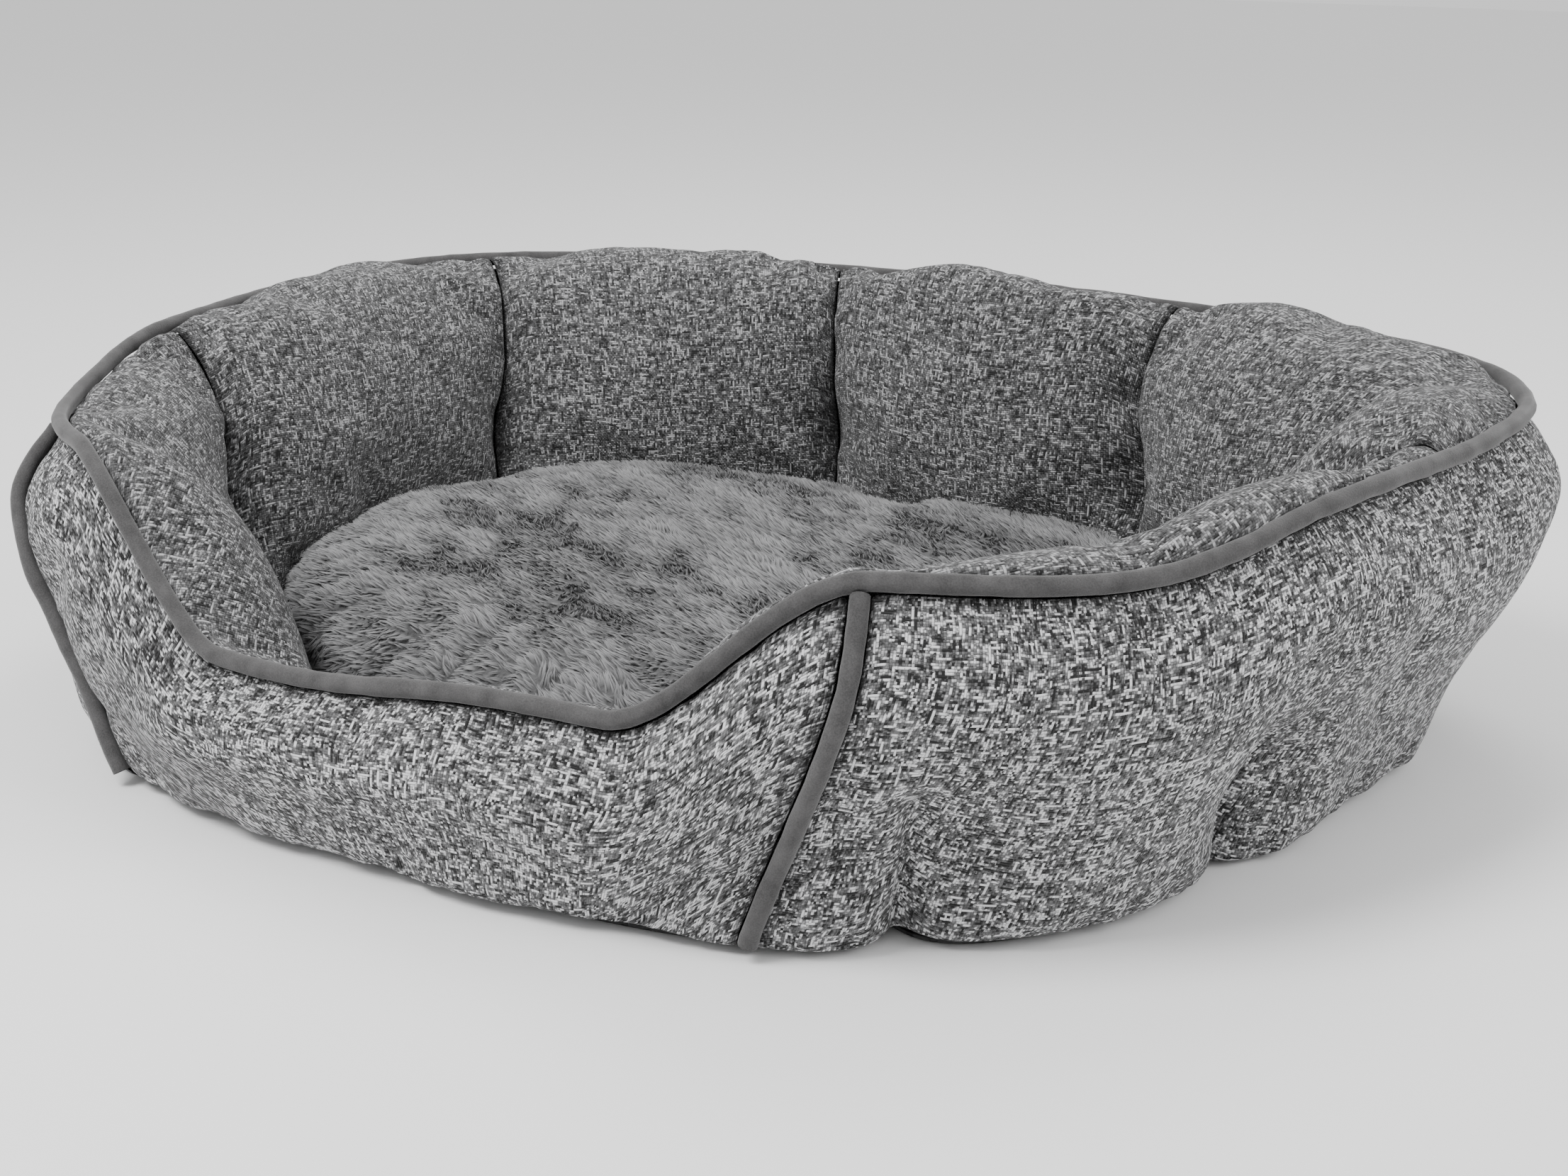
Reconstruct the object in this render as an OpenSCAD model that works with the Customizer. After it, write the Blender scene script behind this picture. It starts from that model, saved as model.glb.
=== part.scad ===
// Oval pet bed: a stuffed ring of six cloth chambers on a flat base, piped along its
// rim and front corners, with a loose plush cushion lying inside.
// Millimetres, +Z up, the low entry faces -Y. The origin is under the middle, on the floor.
//
// Every wall section is drawn in a vertical plane through the middle of the bed as
// [rho, z]: rho runs out from the middle, z up from the floor. phi is the angle of
// that plane from the entry, turning towards +X.

/* [Plan] */
// Half width of the ring at the rim, before the back is widened
rim_half_w = 350; // [290:1:420]
// Half depth of the ring at the rim
rim_half_d = 266; // [222:1:320]
// Squareness of the plan, 2 is an ellipse
rim_square = 3.2; // [2.2:0.1:3.6]
// Share by which the rim widens towards the back
back_widening = 0.18; // [0:0.01:0.24]
// How far the base outline stands inside the rim at the sides
side_flare = 24; // [6:1:34]
// How far the base outline stands inside the rim at the front and back
end_flare = -6; // [-8:1:16]
// How far the rim lies back from the base
rim_back = 8; // [0:1:14]
// Thickness of the wall at a seam, at the sides
side_wall = 80; // [60:1:100]
// Thickness of the wall at a seam, at the front and back
end_wall = 45; // [42:1:70]

/* [Heights] */
// Rim height in the middle of the entry
entry_h = 85; // [70:1:102]
// Rim height at the shoulders of the entry
shoulder_h = 159; // [132:1:190]
// Sag of the rim just behind the shoulders
shoulder_sag = 7; // [0:1:12]
// Rim height along the sides
side_h = 172; // [144:1:206]
// Rim height at the back
back_h = 181; // [152:1:217]
// How far the stuffed wall rises above the rim
crest_h = 13; // [4:1:16]
// How far the stuffed wall falls away behind the rim at the entry
entry_fall = 19; // [4:1:26]

/* [Sewn pattern] */
// Half angle of the flat stretch of the entry
entry_flat = 22; // [16:1:28]
// Half angle where the entry reaches its shoulders
entry_edge = 43; // [38:1:48]
// Half angle where the rim reaches its side height
side_angle = 84; // [74:1:96]
// Half angle of the corner piping at the floor
corner_foot = 34; // [30:0.5:38]
// Angle of the left corner piping at the rim
corner_top_left = 54; // [44:0.5:56]
// Angle of the right corner piping at the rim
corner_top_right = 42; // [40:0.5:50]
// How far a full chamber swells in beyond its seams
puff = 18; // [10:1:30]
// Share of that swelling lost where a tie creases the entry panel
crease = 0.3; // [0:0.05:0.6]
// How far the outer panels bow out
outer_bow = 23; // [6:1:28]
// Height share of the fullest part of that bow
bow_rise = 0.72; // [0.5:0.01:0.8]
// How far a tuft tie pulls the outer panel in
tuft_pull = 9; // [3:1:13]
// Height of the tuft ties
tuft_h = 42; // [34:1:52]
// Thickness of a tuft tie
tuft_d = 1.6; // [1:0.1:2.4]

/* [Fabric and piping] */
// Thickness of the woven fabric
fabric_t = 1.6; // [1:0.1:2.4]
// Diameter of the covered piping
piping_d = 8.4; // [6.8:0.1:10]
// Diameter of the cord inside the piping
cord_d = 5.2; // [3.4:0.1:5.4]
// Thickness of the velour round the cord
velour_t = 1.2; // [0.8:0.1:1.3]

/* [Base] */
// Thickness of the base wadding
pad_t = 16; // [10:1:22]

/* [Cushion] */
// Height of the cushion at its edge seam
cushion_edge_h = 22; // [16:1:28]
// Rise of the cushion's top above its edge seam
cushion_dome = 44; // [30:1:54]
// Gap all round between the cushion and the wall
cushion_gap = 1.5; // [0.8:0.1:4]
// Thickness of the plush with its pile
plush_t = 3; // [2:0.1:4]

/* [Hidden] */
// Ties through the wall between its wads of stuffing, from the left of the entry round the
// back: [angle at the foot, angle at the crest]. The first and last only crease the long
// entry panel, the others lie behind seams.
TIES = [[-56, -50], [-70, -79], [-117, -123], [-164, -162],
        [147 - 360, 152 - 360], [112 - 360, 114 - 360],
        [76 - 360, 96 - 360], [46 - 360, 44 - 360]];
SEAMS = [for (i = [1:6]) TIES[i]];
PANELS = len(SEAMS);
WADS = len(TIES);
ENTRY = PANELS - 1;
// How far the base outline lies forward of the middle, so that the whole bed is centred
base_back = -0.65 * rim_back;
piping_r = piping_d / 2;
// Space between a fabric and the stuffing behind it, or between two fabrics
lay_gap = 0.4;
// Room between a wad of stuffing and the fabric over it
wad_room = 4.2;
// Space on each side of a seam between two wads of stuffing
wad_gap = 3.8;
// Share of a chamber's swelling that its wad of stuffing stays short of
wad_ease = 0.22;
// Height of the fold where the outer panels turn under
fold_h = 14;
// Width of that fold
fold_w = 13;
// Points on the rounded foot, the outer wall and the inner wall of a section
OUTER_POINTS = 8;
INNER_POINTS = 8;
ALL_POINTS = OUTER_POINTS + INNER_POINTS;
// Angle between two sections of the wall, and steps round the base and the cushion
STEP = 4.2;
PLAN_STEPS = 72;
TUBE_SIDES = 8;
CORNER_RINGS = 12;

floor_z = fabric_t + lay_gap + pad_t + lay_gap + fabric_t;
cushion_z = floor_z + lay_gap;
edge_z = cushion_z + cushion_edge_h;

// ---- plan and heights ----------------------------------------------------------

function blend(a, b, s) = a + (b - a) * s;
function clamp01(x) = max(0, min(1, x));
function smooth(x) = let (s = clamp01(x)) s * s * (3 - 2 * s);
function unit(v) = v / norm(v);

// Distance from the middle to a rounded plan outline, seen at phi
function plan_rho(phi, half_w, half_d, square, widening, back) =
    let (c = sin(phi), s = -cos(phi))
    pow(pow(abs(c) / (half_w * (1 + widening * s)), square) + pow(abs(s) / half_d, square),
        -1 / square) + back * s;
function plan_dir(phi) = [sin(phi), -cos(phi)];

function rim_rho(phi) =
    plan_rho(phi, rim_half_w, rim_half_d, rim_square, back_widening, rim_back + base_back);
function base_rho(phi) =
    plan_rho(phi, rim_half_w - side_flare, rim_half_d - end_flare, rim_square,
             0.8 * back_widening, base_back);
function foot_rho(phi) =
    plan_rho(phi, rim_half_w - side_wall, rim_half_d - end_wall, rim_square - 0.8,
             back_widening, base_back / 2);
function at(phi, rho, z) = let (d = plan_dir(phi)) [d[0] * rho, d[1] * rho, z];

// Angle round from the middle of the entry, 0 to 180
function away(phi) = abs((phi + 900) % 360 - 180);
function rim_h(phi) = let (a = away(phi))
    entry_h
    + (shoulder_h - entry_h) * smooth((a - entry_flat) / (entry_edge - entry_flat))
    + (side_h - shoulder_h) * pow(smooth((a - entry_edge) / (side_angle - entry_edge)), 1.5)
    + (back_h - side_h) * smooth((a - side_angle) / (180 - side_angle))
    - shoulder_sag * exp(-pow((a - (entry_edge + side_angle) / 2) / 11, 2));

// ---- seams ---------------------------------------------------------------------

// Tie or seam i of a list, carried on round the ring past its end
function mark(list, i) =
    let (n = len(list), turns = floor(i / n)) list[i - turns * n] - 360 * turns * [1, 1];
// Angles of the two ends of span i, at level 0 the foot and 1 the crest
function span(list, i, level) = [mark(list, i)[level], mark(list, i + 1)[level]];

// Swelling of an inner panel at phi, 0 at its seams and 1 when full, f up the wall.
// Panel -1 has none.
function swell(panel, phi, f) =
    panel < 0 ? 0 :
    let (foot = span(SEAMS, panel, 0), top = span(SEAMS, panel, 1),
         from = blend(foot[0], top[0], f), to = blend(foot[1], top[1], f),
         full = pow(max(0, sin(180 * clamp01((phi - from) / (to - from)))), 0.65))
    panel < ENTRY ? full : full * (1 - crease * max(near_tie(phi, f, 7), near_tie(phi, f, 8)));
function near_tie(phi, f, i) = let (tie = mark(TIES, i))
    exp(-pow((phi - blend(tie[0], tie[1], f)) / 6, 2));

// Inward pull of the ties on the outer wall
function tuft_dip(phi, f) =
    tuft_pull * max([for (i = [0:WADS - 1])
        let (a = (phi - TIES[i][0] + 900) % 360 - 180) exp(-pow(a / 5.5, 2))])
    * exp(-pow((f - 0.2) / 0.22, 2));

// ---- the wall's section ----------------------------------------------------------

// Height share of each point of the section: the foot fold, the outer wall, the inner wall
function share(k) =
    k < 3 ? [0, 0.02, 0.06][k]
    : k < OUTER_POINTS ? blend(0.06, 1, (k - 2) / (OUTER_POINTS - 3))
    : [1, 1, 1, 0.9, 0.76, 0.56, 0.36, 0][k - OUTER_POINTS];

// Share of the full crest at phi, 0 across the entry and 1 past its shoulders
function crest(phi) = smooth((away(phi) - 36) / 38);

// Bow of the outer wall at share g of its height, 1 where it is fullest
function bow(g) = pow(sin(180 * pow(g, ln(0.5) / ln(bow_rise))), 0.8);

// Point k of the section at phi, q is the swelling there
function wall_point(phi, q, k) =
    let (rim = rim_rho(phi), base = base_rho(phi), foot = foot_rho(phi), h = rim_h(phi),
         g = (k - 2) / (OUTER_POINTS - 3), dip = tuft_dip(phi, share(k)),
         slope = (rim_h(phi + 1) - rim_h(phi - 1)) / (rim * PI / 90),
         under = h - (piping_r + lay_gap) * sqrt(1 + slope * slope) - lay_gap)
    k == 0 ? [base - fold_w - dip, fabric_t + lay_gap]
    : k == 1 ? [base - fold_w / 4 - dip, fabric_t + fold_h / 4]
    : k < OUTER_POINTS ?
        [blend(base, rim - piping_r / 3, g) + outer_bow * bow(g) - dip, blend(fold_h, under, g)]
    : inner_point(rim, foot, h, q, k - OUTER_POINTS, entry_fall * (1 - crest(phi)));

// Inner side of the section, from the rim over the crest and down to the base lining, full
// and pulled tight, and the share of the entry's fall at each of its points
FULL = [[0, 0], [0.1, 0.75], [0.25, 1], [0.5, 0.6],
        [0.8, 0.84], [0.96, 0.62], [1, 0.42], [0, 0]];
TIGHT = [[0, 0], [0.14, 0.2], [0.26, -0.4], [0.44, -1.6],
         [0.62, 0.7], [0.8, 0.52], [0.93, 0.36], [0, 0]];
FALL = [0, 0.55, 0.95, 1, 0.3, 0.1, 0, 0];
function inner_z(z, h, j) = j < 4 ? h + z * crest_h : z * h;
function inner_point(rim, foot, h, q, j, fall) =
    let (start = rim - piping_r - lay_gap, full = start - foot + puff, tight = start - foot)
    j == 0 ? [start, h - fabric_t]
    : j == INNER_POINTS - 1 ? [foot, floor_z + lay_gap]
    : [start - blend(tight * TIGHT[j][0], full * FULL[j][0], q),
       blend(inner_z(TIGHT[j][1], h, j), inner_z(FULL[j][1], h, j) - fall * FALL[j], q)];

// Point k moved t into the wall, square to the section's outline
function wall_inset(phi, q, k, t) =
    let (last = k < OUTER_POINTS ? OUTER_POINTS - 1 : ALL_POINTS - 1,
         first = k < OUTER_POINTS ? 0 : OUTER_POINTS,
         before = wall_point(phi, q, max(first, k - 1)),
         after = wall_point(phi, q, min(last, k + 1)),
         along = unit(after - before))
    wall_point(phi, q, k) + t * [-along[1], along[0]];

// Points of the wall up a column from angle foot to angle top, eased takes off swelling
function column(panel, foot, top, points, t, eased = 0) = [for (k = points)
    let (f = share(k), phi = blend(foot, top, f),
         p = wall_inset(phi, max(0, swell(panel, phi, f) - eased), k, t))
    at(phi, p[0], p[1])];

// ---- lofting -----------------------------------------------------------------------

function flat(list) = [for (part = list) each part];
// Two triangles for each cell between rings i and i + 1
function ring_faces(i, j, n) = [for (k = [0:n - 1]) let (m = (k + 1) % n)
    each [[i * n + k, j * n + m, i * n + m], [i * n + k, j * n + k, j * n + m]]];

// End of a loft, laced across between the ring's outward and homeward halves
function lacing(start, n, flip) = [for (k = [0:floor((n - 3) / 2)])
    let (a = start + k, b = a + 1, d = start + n - 1 - k, c = d - 1)
    each concat([flip ? [a, d, b] : [a, b, d]],
                b == c ? [] : [flip ? [b, d, c] : [b, c, d]])];

// Solid through a row of rings with the same number of points
module loft(rings, closed = false) {
    n = len(rings[0]);
    last = len(rings) - 1;
    sides = flat([for (i = [0:closed ? last : last - 1]) ring_faces(i, (i + 1) % (last + 1), n)]);
    ends = closed ? [] : concat(lacing(0, n, false), lacing(last * n, n, true));
    polyhedron(points = flat(rings), faces = concat(sides, ends), convexity = 12);
}

// Solid through stacked rings of a disc-like shape, closed by a centre point at each end
module domed_loft(rings, start, end) {
    n = len(rings[0]);
    last = len(rings) - 1;
    total = n * len(rings);
    sides = flat([for (i = [0:last - 1]) ring_faces(i, i + 1, n)]);
    near = [for (k = [0:n - 1]) [total, k, (k + 1) % n]];
    far = [for (k = [0:n - 1]) [total + 1, last * n + (k + 1) % n, last * n + k]];
    polyhedron(points = concat(flat(rings), [start, end]), faces = concat(sides, near, far),
               convexity = 12);
}

// ---- wall pieces ----------------------------------------------------------------------

OUTER = [for (k = [0:OUTER_POINTS - 1]) k];
INNER = [for (k = [OUTER_POINTS:ALL_POINTS - 1]) k];
function reversed(list) = [for (i = [len(list) - 1:-1:0]) list[i]];
function steps(foot, top) =
    let (n = ceil(max(foot[0] - foot[1], top[0] - top[1]) / STEP)) [for (i = [0:n]) i / n];
// Angle that a distance spans at the rim
function as_angle(mm) = mm / rim_half_d * 180 / PI;
function narrowed(pair, mm) = pair + as_angle(mm) * [-1, 1];

// Fabric over some points of the wall's section
module wall_fabric(panel, foot, top, points) {
    loft([for (u = steps(foot, top))
        let (a = blend(foot[0], foot[1], u), b = blend(top[0], top[1], u))
        concat(column(panel, a, b, points, 0),
               column(panel, a, b, reversed(points), fabric_t))]);
}

module inner_panel(i) {
    color("dimgray") wall_fabric(i, narrowed(span(SEAMS, i, 0), lay_gap),
                                 narrowed(span(SEAMS, i, 1), lay_gap), INNER);
}

// Stuffing between two ties, behind the inner panel that spans them
module wad(i, panel) {
    low = narrowed(span(TIES, i, 0), wad_gap);
    high = narrowed(span(TIES, i, 1), wad_gap);
    behind = fabric_t + wad_room;
    color("white") loft([for (u = steps(low, high)) let (
        a = blend(low[0], low[1], u), b = blend(high[0], high[1], u),
        heel = foot_rho(a) + lay_gap + behind)
        concat(column(panel, a, b, [for (k = [0:ALL_POINTS - 2]) k], behind, wad_ease),
               [at(a, heel, floor_z + behind), at(a, heel, fabric_t + lay_gap + behind)])]);
}

// Edges of the entry panel and of the long panel, clear of the piping between them
CORNER_FOOT = [corner_foot, -corner_foot];
CORNER_TOP = [corner_top_right, -corner_top_left];
corner_clear = 1.1 * piping_r + lay_gap;

module outer_entry_panel() {
    color("gray") wall_fabric(-1, narrowed(CORNER_FOOT, corner_clear),
                              narrowed(CORNER_TOP, corner_clear), OUTER);
}

module outer_ring_panel() {
    color("gray") wall_fabric(-1, narrowed([CORNER_FOOT[1], CORNER_FOOT[0] - 360], corner_clear),
                              narrowed([CORNER_TOP[1], CORNER_TOP[0] - 360], corner_clear), OUTER);
}

// Ties through the wall between the wads, from one fabric to the other
module tuft_ties() {
    color("darkgray") for (i = [0:WADS - 1])
        tied(tie_end(i, 2, 3), tie_end(i, ALL_POINTS - 1, ALL_POINTS - 2));
}
// Point behind the fabric at the height of the ties, between points k and m of the section
function tie_end(i, k, m) =
    let (a = TIES[i][0], b = TIES[i][1], f = blend(share(k), share(m), 0.5),
         panel = i == 0 || i == WADS - 1 ? ENTRY : -1, phi = blend(a, b, f) - (i == 0 ? 360 : 0),
         q = swell(panel, phi, f), t = fabric_t + 2 * lay_gap,
         low = wall_inset(phi, q, k, t), high = wall_inset(phi, q, m, t),
         w = (tuft_h - low[1]) / (high[1] - low[1]))
    at(blend(a, b, blend(share(k), share(m), w)), blend(low[0], high[0], w), tuft_h);
module tied(from, to) {
    way = to - from;
    translate(from) rotate([0, 90, atan2(way[1], way[0])])
        cylinder(d = tuft_d, h = norm(way), $fn = 16);
}

// ---- piping ------------------------------------------------------------------------------

// Points of an arc about p, square to its run
function arc(p, run, out, r, angles) =
    let (a = unit(cross(run, out)), b = unit(cross(a, run)))
    [for (w = angles) p + r * (cos(w) * a + sin(w) * b)];

// Run and outward direction of a path at point i
function run_at(path, i, closed) =
    let (n = len(path))
    closed ? path[(i + 1) % n] - path[(i + n - 1) % n]
    : path[min(n - 1, i + 1)] - path[max(0, i - 1)];
function out_at(path, i) = [path[i][0], path[i][1], 0];

module cord(path, closed = false) {
    around = [for (k = [0:TUBE_SIDES - 1]) (k + 0.5) * 360 / TUBE_SIDES];
    color("ivory") loft([for (i = [0:len(path) - 1])
        arc(path[i], run_at(path, i, closed), out_at(path, i), cord_d / 2, around)], closed);
}

// Velour folded round the cord, its edges meeting at angle meet
module velour(path, meet, closed = false) {
    around = [for (k = [0:TUBE_SIDES]) meet + 14 + k * 332 / TUBE_SIDES];
    back = [for (k = [TUBE_SIDES:-1:0]) around[k]];
    color([0.2, 0.19, 0.2]) loft([for (i = [0:len(path) - 1])
        let (run = run_at(path, i, closed), out = out_at(path, i))
        concat(arc(path[i], run, out, piping_r, around),
               arc(path[i], run, out, piping_r - velour_t, back))], closed);
}

RIM_STEPS = round(360 / STEP);
RIM_PATH = [for (i = [0:RIM_STEPS - 1]) let (phi = -i * 360 / RIM_STEPS)
    at(phi, rim_rho(phi), rim_h(phi))];
// Where the edges of the velour meet: under the rim piping, and behind the corner piping
RIM_MEET = 0;
CORNER_MEET = 270;
// Runs up the outer wall in the gap between the two outer panels
function corner_path(side) = [for (i = [0:CORNER_RINGS]) let (
    k = 1.4 + (OUTER_POINTS - 2.4) * i / CORNER_RINGS,
    lo = floor(k), hi = min(OUTER_POINTS - 1, lo + 1),
    p = blend(corner_point(side, lo), corner_point(side, hi), k - lo)) p];
function corner_point(side, k) =
    let (f = share(k), phi = blend(CORNER_FOOT[side], CORNER_TOP[side], f),
         p = wall_inset(phi, 0, k, fabric_t - piping_r),
         drop = k == OUTER_POINTS - 1 ? piping_r + lay_gap : 0)
    at(phi, p[0], p[1] - drop);

module rim_piping_cover() { velour(RIM_PATH, RIM_MEET, true); }
module rim_piping_cord() { cord(RIM_PATH, true); }
module corner_piping_cover(side) { velour(corner_path(side), CORNER_MEET); }
module corner_piping_cord(side) { cord(corner_path(side)); }

// ---- base ----------------------------------------------------------------------------------

module plan_sheet(inset, t, z, inner = false) {
    outline = [for (i = [0:PLAN_STEPS - 1]) let (
        phi = i * 360 / PLAN_STEPS,
        rho = (inner ? foot_rho(phi) : base_rho(phi) - tuft_dip(phi, 0)) - inset,
        p = at(phi, rho, 0)) [p[0], p[1]]];
    translate([0, 0, z]) linear_extrude(t) polygon(outline);
}

module base_bottom_panel() { color("darkslategray") plan_sheet(fold_w, fabric_t, 0); }
module base_wadding() {
    color("white") plan_sheet(fabric_t, pad_t, fabric_t + lay_gap, true);
}
module base_lining() {
    color("lightgray") plan_sheet(fabric_t, fabric_t, floor_z - fabric_t, true);
}

// ---- cushion --------------------------------------------------------------------------------

// Rings of the cushion's section: distance in from its edge, and share of its height
TOP_RINGS = [[0, 0], [1, 0.22], [6, 0.48], [20, 0.7], [45, 0.86], [90, 0.95], [150, 0.99]];
LOW_RINGS = [[150, 0], [60, 0], [24, 0.04], [9, 0.25], [2, 0.62], [0, 1]];
function cushion_rho(phi) = foot_rho(phi) - puff - cushion_gap;
function cushion_ring(in, z) = [for (i = [0:PLAN_STEPS - 1]) let (phi = -i * 360 / PLAN_STEPS)
    at(phi, cushion_rho(phi) - in, z)];
function top_ring(row, t) = cushion_ring(row[0] + t, edge_z + lay_gap + row[1] * cushion_dome - t);
function low_ring(row, t) =
    cushion_ring(row[0] + t, cushion_z + t + row[1] * (cushion_edge_h - t));

module cushion_plush_top() {
    skin = [for (row = TOP_RINGS) top_ring(row, 0)];
    back = [for (row = TOP_RINGS)
        cushion_ring(row[0] + plush_t, edge_z + lay_gap + max(0, row[1] * cushion_dome - plush_t))];
    peak = edge_z + lay_gap + cushion_dome;
    color("lightslategray")
        domed_loft(concat(reversed(back), skin), [0, 0, peak - plush_t], [0, 0, peak]);
}

module cushion_woven_base() {
    skin = [for (row = LOW_RINGS) cushion_ring(row[0], cushion_z + row[1] * cushion_edge_h)];
    back = [for (row = LOW_RINGS) cushion_ring(row[0] + fabric_t,
        min(edge_z, cushion_z + fabric_t + row[1] * cushion_edge_h))];
    color("gray") domed_loft(concat(skin, reversed(back)), [0, 0, cushion_z],
                             [0, 0, cushion_z + fabric_t]);
}

module cushion_filling() {
    under = fabric_t + lay_gap;
    over = plush_t + lay_gap;
    low = [for (row = LOW_RINGS) if (row[1] < 0.5)
        cushion_ring(row[0] + over, cushion_z + under + row[1] * cushion_edge_h)];
    high = [for (row = TOP_RINGS) if (row[1] > 0.3)
        cushion_ring(row[0] + over, edge_z + lay_gap + row[1] * cushion_dome - over)];
    color("white") domed_loft(concat(low, high), [0, 0, cushion_z + under],
                              [0, 0, edge_z + lay_gap + cushion_dome - over]);
}

// ---- every node ---------------------------------------------------------------------------------

base_bottom_panel();
base_wadding();
base_lining();
outer_entry_panel();
outer_ring_panel();
inner_panel(0);  // inner_panel_left
inner_panel(1);  // inner_panel_back_left
inner_panel(2);  // inner_panel_back
inner_panel(3);  // inner_panel_back_right
inner_panel(4);  // inner_panel_right
inner_panel(ENTRY);  // inner_panel_entry
wad(WADS, ENTRY);  // stuffing_front_left
wad(1, 0);  // stuffing_left
wad(2, 1);  // stuffing_back_left
wad(3, 2);  // stuffing_back
wad(4, 3);  // stuffing_back_right
wad(5, 4);  // stuffing_right
wad(6, ENTRY);  // stuffing_front_right
wad(7, ENTRY);  // stuffing_entry
tuft_ties();
rim_piping_cover();
rim_piping_cord();
corner_piping_cover(1);  // left_corner_piping_cover
corner_piping_cord(1);  // left_corner_piping_cord
corner_piping_cover(0);  // right_corner_piping_cover
corner_piping_cord(0);  // right_corner_piping_cord
cushion_plush_top();
cushion_woven_base();
cushion_filling();
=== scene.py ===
# %% [markdown]
# # An oval pet bed in woven cloth and plush
# The bed is a padded ring of cloth chambers on a flat base, with a low entry in front,
# dark velour piping on its edges and a loose plush cushion inside. The engineering model
# is loaded first and stays as the fixed frame. Every soft piece is then made again with
# the same outlines, but with the fullness, folds and yarns of real cloth.

import math

import bmesh
import bpy
import numpy as np
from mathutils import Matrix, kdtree


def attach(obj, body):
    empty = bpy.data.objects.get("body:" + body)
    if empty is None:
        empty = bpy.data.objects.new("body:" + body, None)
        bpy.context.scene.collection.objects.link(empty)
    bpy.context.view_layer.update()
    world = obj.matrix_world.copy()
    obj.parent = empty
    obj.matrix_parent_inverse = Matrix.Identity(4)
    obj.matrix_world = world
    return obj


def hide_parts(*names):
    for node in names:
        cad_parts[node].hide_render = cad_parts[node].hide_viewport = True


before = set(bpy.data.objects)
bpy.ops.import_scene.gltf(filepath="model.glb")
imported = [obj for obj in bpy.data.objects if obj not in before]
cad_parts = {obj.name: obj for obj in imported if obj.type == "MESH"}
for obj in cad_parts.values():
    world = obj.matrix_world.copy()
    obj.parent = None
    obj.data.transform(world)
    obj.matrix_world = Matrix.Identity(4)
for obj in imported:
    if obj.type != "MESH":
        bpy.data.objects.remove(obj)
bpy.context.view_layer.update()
scene = bpy.context.scene
rng = np.random.default_rng(7)
MM = 0.001
WHITE = (1, 1, 1, 1)

# %% [markdown]
# The camera stands about 1.26 m away, a little to the right of the entry and twenty
# degrees above the floor, which is how a person crouching near the bed would see it. A
# lens of about 55 mm keeps the far side from looking small. The small shift slides the
# bed in the frame without turning the camera, so the perspective stays as it is.

# %% Camera
AZIMUTH, ELEVATION, DISTANCE = 32.7, 19.65, 1.256
SENSOR, LENS = 36.0, 54.762
SHIFT_ACROSS, SHIFT_UP = 0.03639, 0.07188
NEAREST = 0.05


def towards(azimuth, elevation):
    """Unit vector from the bed's middle to a place at these angles, 0 in front."""
    a, e = math.radians(azimuth), math.radians(elevation)
    return np.array([math.sin(a) * math.cos(e), -math.cos(a) * math.cos(e), math.sin(e)])


def look_from(obj, azimuth, elevation, distance, at=(0, 0, 0)):
    """Puts a camera or a light at a place and turns it to look at a point."""
    obj.location = np.array(at) + towards(azimuth, elevation) * distance
    obj.rotation_euler = (math.radians(90 - elevation), 0, math.radians(azimuth))


camera = bpy.data.objects.new("camera", bpy.data.cameras.new("camera"))
scene.collection.objects.link(camera)
look_from(camera, AZIMUTH, ELEVATION, DISTANCE)
camera.data.sensor_width = SENSOR
camera.data.lens = LENS
camera.data.shift_x = SHIFT_ACROSS
camera.data.shift_y = SHIFT_UP
camera.data.clip_start = NEAREST
scene.camera = camera
print("lens", round(camera.data.lens, 1), "mm")

# %% [markdown]
# Cloth with strong yarns looks flat under one hard lamp and dull under an even sky. A
# broad soft light from the front left models the folds, a second one fills the right
# side, and a pale sky keeps the shadows open. The floor is a plain pale sheet.

# %% Light
LIT_POINT = (0, 0, 0.1)
SKY = 0.95
# each light: azimuth, elevation, distance in metres, size in metres, power in watts
LIGHTS = {"key light": (-25, 52, 2.2, 1.1, 50), "fill light": (95, 30, 2.4, 1.4, 20),
          "back light": (190, 55, 2.2, 1.0, 14)}


def area_light(name, azimuth, elevation, distance, size, power):
    """Round soft light that looks at a point just above the floor."""
    light = bpy.data.lights.new(name, "AREA")
    light.shape = "DISK"
    light.size = size
    light.energy = power
    obj = bpy.data.objects.new(name, light)
    scene.collection.objects.link(obj)
    look_from(obj, azimuth, elevation, distance, LIT_POINT)


for light_name, setting in LIGHTS.items():
    area_light(light_name, *setting)

world = bpy.data.worlds.new("studio")
world.use_nodes = True
sky = world.node_tree.nodes["Background"]
sky.inputs["Color"].default_value = WHITE
sky.inputs["Strength"].default_value = SKY
scene.world = world
print(len(LIGHTS), "lights under a pale sky")

# %% Floor
FLOOR, FLOOR_TONE, FLOOR_ROUGHNESS = 6.0, 0.9, 0.7


def plain_material(name, color, roughness):
    """Material of one colour, as a start for the cloths and as it is for the floor."""
    material = bpy.data.materials.new(name)
    material.use_nodes = True
    shader = material.node_tree.nodes["Principled BSDF"]
    shader.inputs["Base Color"].default_value = (*color, 1)
    shader.inputs["Roughness"].default_value = roughness
    return material


floor_mesh = bpy.data.meshes.new("floor")
floor_mesh.from_pydata(
    [(-FLOOR, -FLOOR, 0), (FLOOR, -FLOOR, 0), (FLOOR, FLOOR, 0), (-FLOOR, FLOOR, 0)],
    [], [(0, 1, 2, 3)])
floor = bpy.data.objects.new("floor", floor_mesh)
floor.data.materials.append(plain_material("pale floor", (FLOOR_TONE,) * 3, FLOOR_ROUGHNESS))
scene.collection.objects.link(floor)
print("floor", 2 * FLOOR, "metres wide")

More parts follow.
